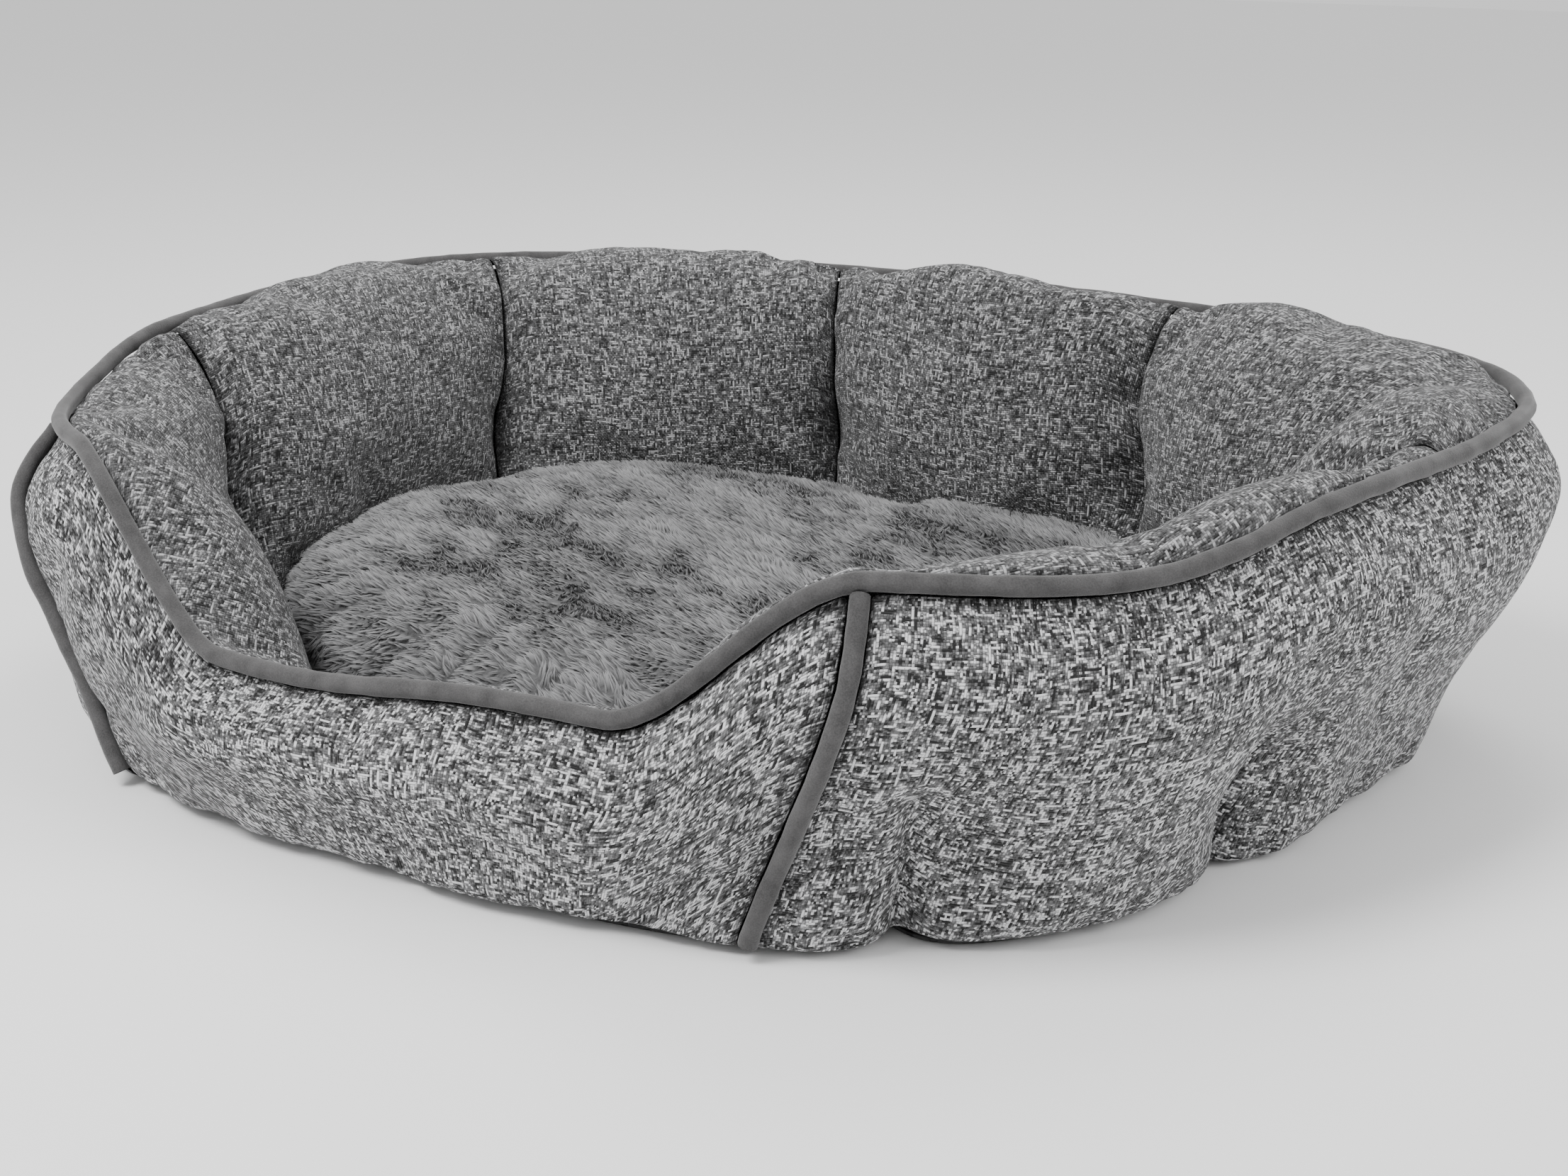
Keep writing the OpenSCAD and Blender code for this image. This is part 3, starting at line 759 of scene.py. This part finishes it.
outer_entry = outer_panel("outer_entry", (CORNER_FOOT[0] + EDGE, CORNER_FOOT[1] - EDGE),
                          (CORNER_TOP[0] + EDGE, CORNER_TOP[1] - EDGE), 86, 0.03)
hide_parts("outer_entry_panel")
outer_ring = outer_panel("outer_ring", (CORNER_FOOT[1] + EDGE, CORNER_FOOT[0] + 360 - EDGE),
                         (CORNER_TOP[1] + EDGE, CORNER_TOP[0] + 360 - EDGE), 330, -0.02)
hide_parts("outer_ring_panel")
print("outer panels:", len(outer_entry.data.vertices), "and", len(outer_ring.data.vertices))

# %% [markdown]
# The six inner panels are chambers of the same cloth. Each runs over the crest of the
# wall and down to the base, from one seam to the next. The long one across the entry is
# creased twice where ties pass behind it. Gathers, deepest at the seams, come from the
# stitching. At the height of the ties a seam is pulled in further than in the
# engineering model, as stuffed cloth is.

# %% Shape of a chamber
PINCH, CREASE, CREASE_WIDTH = 21.0, 0.55, 4.5


def chamber_fullness(panel, phi, share):
    """Swelling of a chamber, rounder at the crest and pinched at the height of the ties."""
    later, sooner = SEAMS[panel + 1], SEAMS[panel]
    a = later[0] + (later[1] - later[0]) * share
    b = sooner[0] + (sooner[1] - sooner[0]) * share
    pinch = 0.45 + 0.4 * math.exp(-((share - 0.45) / 0.3) ** 2)
    full = np.sin(math.pi * np.clip((phi - a) / (b - a), 0, 1)) ** pinch
    if panel == ENTRY:
        for tie in TIES[8:6:-1]:
            crease = tie[0] + (tie[1] - tie[0]) * share
            full = full * (1 - CREASE * np.exp(-np.abs((phi - crease) / CREASE_WIDTH) ** 1.3))
    return full


def chamber_points(panel, rows, cols):
    """Grid of a chamber, rows round the ring and columns from the rim to the foot."""
    u = np.linspace(0, 1, rows)
    t = np.linspace(0, 1, cols)
    share = spline(INNER_SHARE, t)
    later, sooner = SEAMS[panel + 1], SEAMS[panel]
    foot = later[0] + (sooner[0] - later[0]) * u
    crest = later[1] + (sooner[1] - later[1]) * u
    phi = foot[:, None] + (crest - foot)[:, None] * share[None]
    points = np.zeros((rows, cols, 3))
    for j in range(cols):
        full = chamber_fullness(panel, phi[:, j], share[j])
        rho, z = spline(inner_section(phi[:, j], full), t[j:j + 1])[0]
        near_seam = np.minimum(u, 1 - u) * abs(later - sooner).mean() / 3.2
        pinch = PINCH * math.exp(-((share[j] - 0.47) / 0.2) ** 2) * (j > 14)
        pull = pinch * np.exp(-near_seam ** 1.3)
        points[:, j] = at(phi[:, j], rho + pull, z)
    return points, phi, share


print("a chamber is pinched by", PINCH, "mm at its seams")

# %% Inner chambers
CHAMBER_COLUMNS, MEAN_RADIUS, HELD_FOOT, TIE_COLUMN = 48, 320, 4, 30


def cushion_room(phi):
    """Distance from the middle that belongs to the cushion."""
    return foot_rho(phi) - PUFF


CHAMBERS = {"left": 0.05, "back_left": -0.04, "back": 0.03, "back_right": -0.07,
            "right": 0.1, "entry": 0.0}
for panel, (where, turn) in enumerate(CHAMBERS.items()):
    span = np.radians(abs(SEAMS[panel + 1] - SEAMS[panel]).max()) * MEAN_RADIUS
    points, phi, share = chamber_points(panel, int(span / STEP), CHAMBER_COLUMNS)
    rows, cols = points.shape[:2]
    edge = np.minimum(np.arange(rows), np.arange(rows)[::-1])[:, None] * float(STEP)
    puckers = waves(points, 24, seed=11 + panel, octaves=2)
    gather = np.exp(-edge / 13) * np.minimum(1, edge / 4) * puckers
    dents = waves(points, 110, seed=31 + panel, octaves=2) * np.minimum(1, edge / 40)
    points += grid_normals(points) * (1.6 * gather + 1.5 * dents)[..., None]
    name = "chamber_" + where
    obj = link(grid_mesh(name, points, turn=turn), name)
    pins = np.zeros((rows, cols), bool)
    pins[0] = pins[-1] = pins[:, 0] = True
    pins[:, -HELD_FOOT:] = True
    if panel == ENTRY:
        for tie in TIES[7:9]:
            crease = tie[0] + (tie[1] - tie[0]) * share[None]
            pins |= (np.abs(phi - crease) < 0.8) & (np.arange(cols)[None] > TIE_COLUMN)
    inflate(obj, pins, PANEL_PRESSURE, PANEL_CAP)
    keep_out(obj, cushion_room)
    # Painted shade near the chamber's seams.
    mark_seams(obj, np.exp(-edge / 2.2) + 0 * points[..., 0])
    thicken(obj, CLOTH_THICKNESS, -1)
    round_off(obj)
    obj.data.materials.append(inner_cloth)
    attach(obj, "bed")
    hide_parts("inner_panel_" + where, "stuffing_" + where)
    print(name, rows, "x", cols)
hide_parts("stuffing_front_left", "stuffing_front_right")

# %% [markdown]
# Dark velour piping covers the rim and the two front corners. It is a strip of velour
# folded round a cord and caught in the seam, so it is never quite straight: it wavers a
# little and thins where the stitches pull. A tube swept along the seam line is enough,
# because the fold of the strip is hidden in the seam. Velour has a short dense pile,
# which shows as a pale sheen along its edges.

# %% Velour
velour, v, shader = new_material("piping velour", 0.9)
pile = v.add("TexNoise", {"Scale": 1600.0, "Detail": 2.0})
nap = v.add("TexNoise", {"Scale": 90.0, "Detail": 3.0})
v.tree.links.new(v.add("TexCoord").outputs["Object"], pile.inputs["Vector"])
v.tree.links.new(v.add("TexCoord").outputs["Object"], nap.inputs["Vector"])
fuzz = v.math("MULTIPLY_ADD", pile.outputs["Fac"], 0.45,
              v.math("MULTIPLY", nap.outputs["Fac"], 0.55))
tone = v.mix(v.range(fuzz, 0.35, 0.65), grey(0.045, 0.02), grey(0.09, 0.02))
tint = place_group(v, mottle_and_seam_shade, Color=tone, Size=0.03, Strength=0.12, Seam_Strength=0.5)
surface(v, shader, tint.outputs["Color"], pile.outputs["Fac"], 0.0004, 0.6)
set_nap(shader, 0.3, 0.4, 0.15)
print("velour ready")

# %% A tube along a path
SIDES = 14


def even(path, step, closed=False):
    """The same path with points an even step apart."""
    wide = np.concatenate([path, path[:1]]) if closed else path
    d = np.concatenate([[0], np.cumsum(np.linalg.norm(np.diff(wide, axis=0), axis=1))])
    n = int(d[-1] / step)
    t = np.linspace(0, d[-1], n + 1)[:n if closed else n + 1]
    return np.stack([np.interp(t, d, wide[:, k]) for k in range(3)], 1)


def tube(name, path, radius, closed=False):
    """Tube in millimetres round a path, radius is one number or one for each point."""
    n = len(path)
    ahead = np.roll(path, -1, 0) - np.roll(path, 1, 0) if closed else np.gradient(path, axis=0)
    ahead /= np.linalg.norm(ahead, axis=1, keepdims=True)
    out = path * [1, 1, 0]
    side = np.cross(ahead, out)
    side /= np.linalg.norm(side, axis=1, keepdims=True)
    up = np.cross(side, ahead)
    a = np.linspace(0, 2 * math.pi, SIDES + 1)[None, :, None]
    r = np.broadcast_to(radius, n)[:, None, None]
    points = path[:, None] + r * (np.cos(a) * side[:, None] + np.sin(a) * up[:, None])
    return grid_mesh(name, points, closed=closed, weld=True)


print("a tube has", SIDES, "sides")

# %% Piping
PIPING_STEP, WAVER = 3.5, 0.55


def piping(name, path, nodes, closed=False):
    """Piping along a path, with a slight waver that fades at its ends."""
    path = even(path, PIPING_STEP, closed)
    n = len(path)
    waver = WAVER * waves(path, 60, seed=21, octaves=2)
    out = path * [1, 1, 0]
    out /= np.linalg.norm(out, axis=1, keepdims=True)
    from_end = np.minimum(np.arange(n), np.arange(n)[::-1])
    keep = np.ones(n) if closed else np.clip(from_end / 6, 0, 1)
    path = path + out * (waver * keep)[:, None]
    radius = PIPING_R * (1 + 0.04 * waves(path, 17, seed=22, octaves=2))
    obj = link(tube(name, path, radius, closed), name)
    obj.data.materials.append(velour)
    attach(obj, "bed")
    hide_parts(*nodes)
    length = np.linalg.norm(np.diff(path, axis=0), axis=1).sum()
    print(name, round(float(length)), "mm long")


ring = -np.linspace(0, 360, 400, endpoint=False)
piping("rim_piping", at(ring, rim_rho(ring), rim_h(ring)),
       ["rim_piping_cover", "rim_piping_cord"], closed=True)

# %% Corner piping
CORNER_POINTS, CORNER_START, CORNER_END = 40, 0.215, 0.985


def corner_line(foot, top):
    """Middle of a corner piping, up the outer wall and just proud of its cloth."""
    t = np.linspace(CORNER_START, CORNER_END, CORNER_POINTS)
    share = spline(OUTER_SHARE, t)
    phi = foot + (top - foot) * share
    rz = np.array([spline(outer_section(phi[k:k + 1]), t[k:k + 1])[0][:, 0]
                   for k in range(CORNER_POINTS)])
    along = np.gradient(rz, axis=0)
    along /= np.linalg.norm(along, axis=1, keepdims=True)
    rz += (PIPING_R - FABRIC) * np.stack([along[:, 1], -along[:, 0]], 1)
    pull = dart_pull(phi, rz[:, 1])
    return at(phi, rz[:, 0] - pull, rz[:, 1])


for side, k in (("left", 0), ("right", 1)):
    piping(side + "_corner_piping", corner_line(CORNER_FOOT[k], CORNER_TOP[k]),
           [side + "_corner_piping_cover", side + "_corner_piping_cord"])

# %% [markdown]
# The ties are waxed thread, hidden in the wall. Their CAD shapes are right, so they stay
# and only get a thread material with the twist of its plies.

# %% Thread
thread, t_nodes, shader = new_material("tie thread", 0.6)
twist = t_nodes.add("TexWave", {"Scale": 900.0, "Distortion": 1.0}, wave_type="BANDS",
                    bands_direction="DIAGONAL")
t_nodes.tree.links.new(t_nodes.add("TexCoord").outputs["Object"], twist.inputs["Vector"])
plies = t_nodes.mix(twist.outputs["Fac"], grey(0.06), grey(0.16))
surface(t_nodes, shader, plies, twist.outputs["Fac"], 0.0003)
for material_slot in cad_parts["tuft_ties"].material_slots:
    material_slot.material = thread
print("thread on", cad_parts["tuft_ties"].name)

# %% [markdown]
# Under the bed lies a dark cloth with rows of rubber grip dots. The dots are a pattern
# of circles on a turned square grid: the distance to the nearest grid point makes a mask,
# and the mask drives colour, gloss and height. Every second row is shifted by half.

# %% A round sheet
CROWDING = 0.92


def disc_points(outline, heights, n):
    """Square grid of points drawn onto a round outline, so that no point is a pole."""
    g = np.sin(np.linspace(-1, 1, n) * math.pi / 2 * CROWDING)
    g /= math.sin(math.pi / 2 * CROWDING)
    x, y = np.meshgrid(g, g, indexing="ij")
    cx, cy = x * np.sqrt(1 - y * y / 2), y * np.sqrt(1 - x * x / 2)
    phi = np.degrees(np.arctan2(cx, -cy))
    reach = np.hypot(cx, cy)
    rho = outline(phi)
    inset = (1 - reach) * rho
    return at(phi, reach * rho, heights(phi, inset)), inset


print("a round sheet is a square grid bent round")

# %% Base cloth
BASE_Z = 1.2


def base_outline(phi):
    return base_rho(phi) - BASE_TUCK - dart_pull(phi, 0 * phi)


base_cloth_points, _ = disc_points(base_outline, lambda phi, inset: BASE_Z + 0 * inset, 70)
base_cloth = link(grid_mesh("base_cloth", base_cloth_points), "base_cloth")
thicken(base_cloth, FABRIC, 0.4)
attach(base_cloth, "bed")
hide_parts("base_bottom_panel")
print("base cloth", len(base_cloth.data.vertices), "points")

# %% Grip dots
DOT_PITCH = 0.011
grip, g, shader = new_material("grip cloth", 0.9)
spot = g.add("SeparateXYZ", {0: g.add("TexCoord").outputs["Object"]})
row = g.math("FLOOR", g.math("DIVIDE", spot.outputs["Y"], DOT_PITCH))
shifted = g.math("MULTIPLY_ADD", g.math("PINGPONG", row, 1.0), 0.5,
                 g.math("DIVIDE", spot.outputs["X"], DOT_PITCH))
dx = g.math("SUBTRACT", g.math("FRACT", shifted), 0.5)
dy = g.math("SUBTRACT", g.math("FRACT", g.math("DIVIDE", spot.outputs["Y"], DOT_PITCH)), 0.5)
far = g.math("SQRT", g.math("ADD", g.math("MULTIPLY", dx, dx), g.math("MULTIPLY", dy, dy)))
dot = g.range(far, 0.17, 0.13)
weft = g.add("TexNoise", {"Vector": g.add("TexCoord").outputs["Object"], "Scale": 1200.0})
cloth_tone = g.mix(weft.outputs["Fac"], grey(0.02), grey(0.055))
tone = g.mix(dot, cloth_tone, grey(0.012))
tint = place_group(g, mottle_and_seam_shade, Color=tone, Size=0.06, Strength=0.15, Seam_Strength=0.0)
g.tree.links.new(g.range(dot, 0.0, 1.0, 0.92, 0.45), shader.inputs["Roughness"])
relief = g.math("MULTIPLY_ADD", weft.outputs["Fac"], 0.15, dot)
surface(g, shader, tint.outputs["Color"], relief, 0.0008)
base_cloth.data.materials.append(grip)
print("dots", DOT_PITCH * 1000, "mm apart")

# %% [markdown]
# The floor of the nest is a thin wadded pad under plain lining cloth. It only shows when
# the cushion is taken out, so a shallow quilted swell and the same weave with weak
# contrast are enough.

# %% Base pad
PAD_FOOT = 2.2


def pad_height(phi, inset):
    """Height of the pad's cloth: a shallow quilted swell that falls at its edge."""
    quilt = 0.5 + 0.5 * waves(at(phi, foot_rho(phi) - inset, 0 * inset), 150, seed=41, octaves=2)
    return FLOOR_Z - 1.0 - 3.2 * np.exp(-inset / 9) - 1.4 * np.clip(quilt, 0, 1)


lining_cloth = woven_material("lining", 0.06, 0.13, 0.22, 0.6, 0.0003)
pad_top, _ = disc_points(lambda phi: foot_rho(phi) - 1.0, pad_height, 64)
base_pad = link(grid_mesh("base_pad", pad_top, turn=0.04), "base_pad")
work = bmesh.new()
work.from_mesh(base_pad.data)
border = [e for e in work.edges if e.is_boundary]
wall = bmesh.ops.extrude_edge_only(work, edges=border)["geom"]
for vert in [e for e in wall if isinstance(e, bmesh.types.BMVert)]:
    vert.co.z = PAD_FOOT * MM
work.to_mesh(base_pad.data)
work.free()
base_pad.data.shade_smooth()
base_pad.data.materials.append(lining_cloth)
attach(base_pad, "bed")
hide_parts("base_lining", "base_wadding")
print("base pad top at", round(float(pad_top[..., 2].max()), 1), "mm")

# %% [markdown]
# The cushion is a flat-topped pillow: steep at its edge, nearly level in the middle, with
# soft folds in front where it is pushed against the entry. Its underside is the woven
# cloth. The heights at a few distances in from the edge give the shape, and the cloth
# simulation then fills it. It lies with a little room all round, so that it lifts out.

# %% Shape of the cushion
CUSHION_Z, EDGE_H, DOME, PILE_ROOM = FLOOR_Z + GAP, 22.0, 44.0, 2.0
CUSHION_GAP, PILE_HEIGHT = 1.5, 6.5
FOLD_DEPTH, DENT_DEPTH = 15, 2.6
EDGE_Z = CUSHION_Z + EDGE_H
TOP = np.array([[0, 0], [1, 0.22], [6, 0.48], [20, 0.7], [45, 0.86], [90, 0.95],
                [150, 0.99], [260, 1.0]])
LOW = np.array([[0, 1], [2, 0.62], [9, 0.25], [24, 0.04], [60, 0], [260, 0]])


def profile(table, inset):
    """Share of a height at a distance in from the edge, quick to change near the edge."""
    return np.interp(np.sqrt(np.maximum(inset, 0)), np.sqrt(table[:, 0]), table[:, 1])


def cushion_outline(phi):
    return foot_rho(phi) - PUFF - CUSHION_GAP - PILE_ROOM


def cushion_top_z(phi, inset):
    """Height of the cushion's top, with its folds in front and its dents."""
    spot = at(phi, cushion_outline(phi) - inset, 0 * inset)
    away_from_front = ((phi + 28 + 180) % 360 - 180) / 42
    fold = np.exp(-(np.sin(np.radians(phi * 15) + 1.1 * np.sin(phi / 9)) / 0.34) ** 2)
    folds = FOLD_DEPTH * fold * np.exp(-away_from_front ** 2)
    folds = folds * np.exp(-((inset - 16) / 32) ** 2)
    dents = DENT_DEPTH * waves(spot, 170, seed=51, octaves=2) * np.clip(inset / 50, 0, 1)
    pillow = EDGE_Z + profile(TOP, inset) * (DOME - PILE_HEIGHT)
    return pillow - folds + dents


def cushion_low_z(phi, inset):
    return CUSHION_Z + profile(LOW, inset) * EDGE_H


print("cushion lies at", round(CUSHION_Z, 1), "mm, its edge at", round(EDGE_Z, 1), "mm")

# %% Cushion
TOP_GRID, LOW_GRID, HELD_EDGE = 96, 72, 2.0
top_points, top_inset = disc_points(cushion_outline, cushion_top_z, TOP_GRID)
cushion_top = link(grid_mesh("cushion_top", top_points), "cushion_top")
inflate(cushion_top, top_inset < HELD_EDGE, pressure=0.5, cap=4, bend=1.5)
low_points, _ = disc_points(cushion_outline, cushion_low_z, LOW_GRID)
cushion_under = link(grid_mesh("cushion_under", low_points[::-1], turn=0.06), "cushion_under")
print("cushion from", round(float(low_points[..., 2].min()), 1), "to",
      round(float(read_points(cushion_top.data)[:, 2].max() * 1000), 1), "mm")

# %% [markdown]
# Plush is a dense pile of fine fibres that stand and lean together in small tufts. Real
# fibres would be millions of hairs. Here a tuft is a thin three-sided spike, which is
# light enough to carry, breaks up the outline and can be seen from any side, as a flat
# blade can't. Spikes lean along a lay that swirls slowly, and their tips gather in locks.

# %% Roots and lay of the pile
TUFTS, LOCKS = 66000, 9000


def sample_surface(obj, count):
    """Random points spread evenly over a mesh, with their normals, in millimetres."""
    mesh = obj.data
    mesh.calc_loop_triangles()
    tris = np.zeros(len(mesh.loop_triangles) * 3, int)
    mesh.loop_triangles.foreach_get("vertices", tris)
    co = read_points(mesh) * 1000
    normals = np.zeros(len(co) * 3, np.float32)
    mesh.vertices.foreach_get("normal", normals)
    corner = co[tris.reshape(-1, 3)]
    normal = normals.reshape(-1, 3)[tris.reshape(-1, 3)]
    spanned = np.cross(corner[:, 1] - corner[:, 0], corner[:, 2] - corner[:, 0])
    size = np.linalg.norm(spanned, axis=1)
    pick = rng.choice(len(size), count, p=size / size.sum())
    a = np.sqrt(rng.random(count))
    b = rng.random(count)
    share = np.stack([1 - a, a * (1 - b), a * b], 1)[..., None]
    n = (normal[pick] * share).sum(1)
    n /= np.linalg.norm(n, axis=1, keepdims=True)
    return (corner[pick] * share).sum(1), n, size.sum() / 2


root, up, area = sample_surface(cushion_top, TUFTS)
swirl = 0.6 + 0.8 * waves(root, 150, seed=61, octaves=2) + 0.7 * waves(root, 30, seed=62, octaves=2)
lay = np.stack([-np.sin(swirl), -np.cos(swirl), 0 * swirl], 1)
lay -= up * (lay * up).sum(1, keepdims=True)
lay /= np.linalg.norm(lay, axis=1, keepdims=True) + 1e-6
rise = 2.6 + 1.0 * rng.random(TUFTS) + 0.6 * waves(root, 40, seed=63, octaves=2)
lean = 3.6 + 2.2 * rng.random(TUFTS)
tip = root + up * rise[:, None] + lay * lean[:, None]
print(TUFTS, "tufts on", round(float(area / 1e6), 3), "square metres")

# %% Locks
tree = kdtree.KDTree(LOCKS)
for i, lock_root in enumerate(root[:LOCKS]):
    tree.insert(lock_root, i)
tree.balance()
nearest = np.array([tree.find(tuft_root)[1] for tuft_root in root])
gathered = tip[:LOCKS][nearest]
tip += (gathered - tip) * (0.42 + 0.2 * rng.random(TUFTS))[:, None]
clump_tone = rng.random(LOCKS)[nearest]

tip_phi, tip_rho = angle_of(tip)
over_edge = np.maximum(tip_rho - (cushion_outline(tip_phi) + PILE_ROOM), 0)
tip[:, :2] *= (1 - over_edge / tip_rho)[:, None]
tip[:, 2] = np.minimum(tip[:, 2], EDGE_Z + DOME + 3)
print(LOCKS, "locks, the tips up to", round(float(tip[:, 2].max()), 1), "mm")

# %% Spikes
TUFT_RADIUS, THIRD = 0.9, 2.0944
across = np.cross(up, lay)
turned = rng.uniform(0, 2 * math.pi, TUFTS)[:, None]
radius = TUFT_RADIUS * rng.uniform(0.75, 1.2, TUFTS)[:, None]
ways = [lay * np.cos(turned + k * THIRD) + across * np.sin(turned + k * THIRD)
        for k in range(3)]
corners = np.stack([root + radius * way - 0.6 * up for way in ways] + [tip], 1).reshape(-1, 3)
sides = np.array([[0, 1, 3], [1, 2, 3], [2, 0, 3]])
faces = (np.arange(TUFTS)[:, None, None] * 4 + sides).reshape(-1, 3)
mesh = bpy.data.meshes.new("cushion_pile")
mesh.from_pydata((corners * MM).tolist(), [], faces.tolist())
mesh.shade_smooth()
lie = tip - root
lie /= np.linalg.norm(lie, axis=1, keepdims=True)
light_side = np.stack([0.75 * way + 0.75 * up for way in ways] + [0.9 * up + 0.3 * lie], 1)
light_side /= np.linalg.norm(light_side, axis=2, keepdims=True)
mesh.normals_split_custom_set_from_vertices(light_side.reshape(-1, 3).tolist())
tone = np.clip(0.5 + 0.35 * (clump_tone - 0.5) + 0.35 * (rng.random(TUFTS) - 0.5)
               + 0.16 * waves(root, 90, seed=64, octaves=3), 0, 1)
marks = {"tip": np.tile([0.0, 0.0, 0.0, 1.0], TUFTS), "tone": np.repeat(tone, 4)}
for label, values in marks.items():
    layer = mesh.attributes.new(label, "FLOAT", "POINT")
    layer.data.foreach_set("value", values.astype(np.float32))
pile_piece = link(mesh, "cushion_pile")
print("pile of", len(faces), "faces")

# %% [markdown]
# The pile is darker at its roots, where light is lost between the fibres, and paler at
# its tips. Each tuft has its own tone, and a slow mottle follows where a hand has brushed
# it. The skin under the pile has the root's colour with a fine relief.

# %% Plush material
plush, f, shader = new_material("plush pile", 0.85)
tip_mask = f.add("Attribute", attribute_name="tip").outputs["Fac"]
tuft_tone = f.add("Attribute", attribute_name="tone").outputs["Fac"]
# The darker roots are painted shade, for the light lost between the fibres.
shaded_root_tone = f.mix(tuft_tone, grey(0.05), grey(0.12))
tip_tone = f.mix(tuft_tone, grey(0.13), grey(0.33))
fibre = f.mix(tip_mask, shaded_root_tone, tip_tone)
tint = place_group(f, mottle_and_seam_shade, Color=fibre, Size=0.07, Strength=0.14, Seam_Strength=0.0)
f.tree.links.new(tint.outputs["Color"], shader.inputs["Base Color"])
shader.inputs["Sheen Weight"].default_value = 0.25
shader.inputs["Specular IOR Level"].default_value = 0.2
pile_piece.data.materials.append(plush)

skin, k, shader = new_material("plush skin", 0.95)
nap = k.add("TexNoise", {"Vector": k.add("TexCoord").outputs["Object"], "Scale": 320.0,
                         "Detail": 3.0})
skin_tone = k.mix(nap.outputs["Fac"], grey(0.04), grey(0.12))
tint = place_group(k, mottle_and_seam_shade, Color=skin_tone, Size=0.05, Strength=0.12, Seam_Strength=0.0)
surface(k, shader, tint.outputs["Color"], nap.outputs["Fac"], 0.002)
print("plush ready")

# %% Cushion's finishes
cushion_top.data.materials.append(skin)
cushion_under.data.materials.append(outer_cloth)
round_off(cushion_top)
slots = ((cushion_top, "plush"), (pile_piece, "plush"), (cushion_under, "woven_outer"))
for obj, slot in slots:
    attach(obj, "cushion")
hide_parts("cushion_plush_top", "cushion_filling")
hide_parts("cushion_woven_base")
print("cushion rides with its pile of", TUFTS, "tufts")
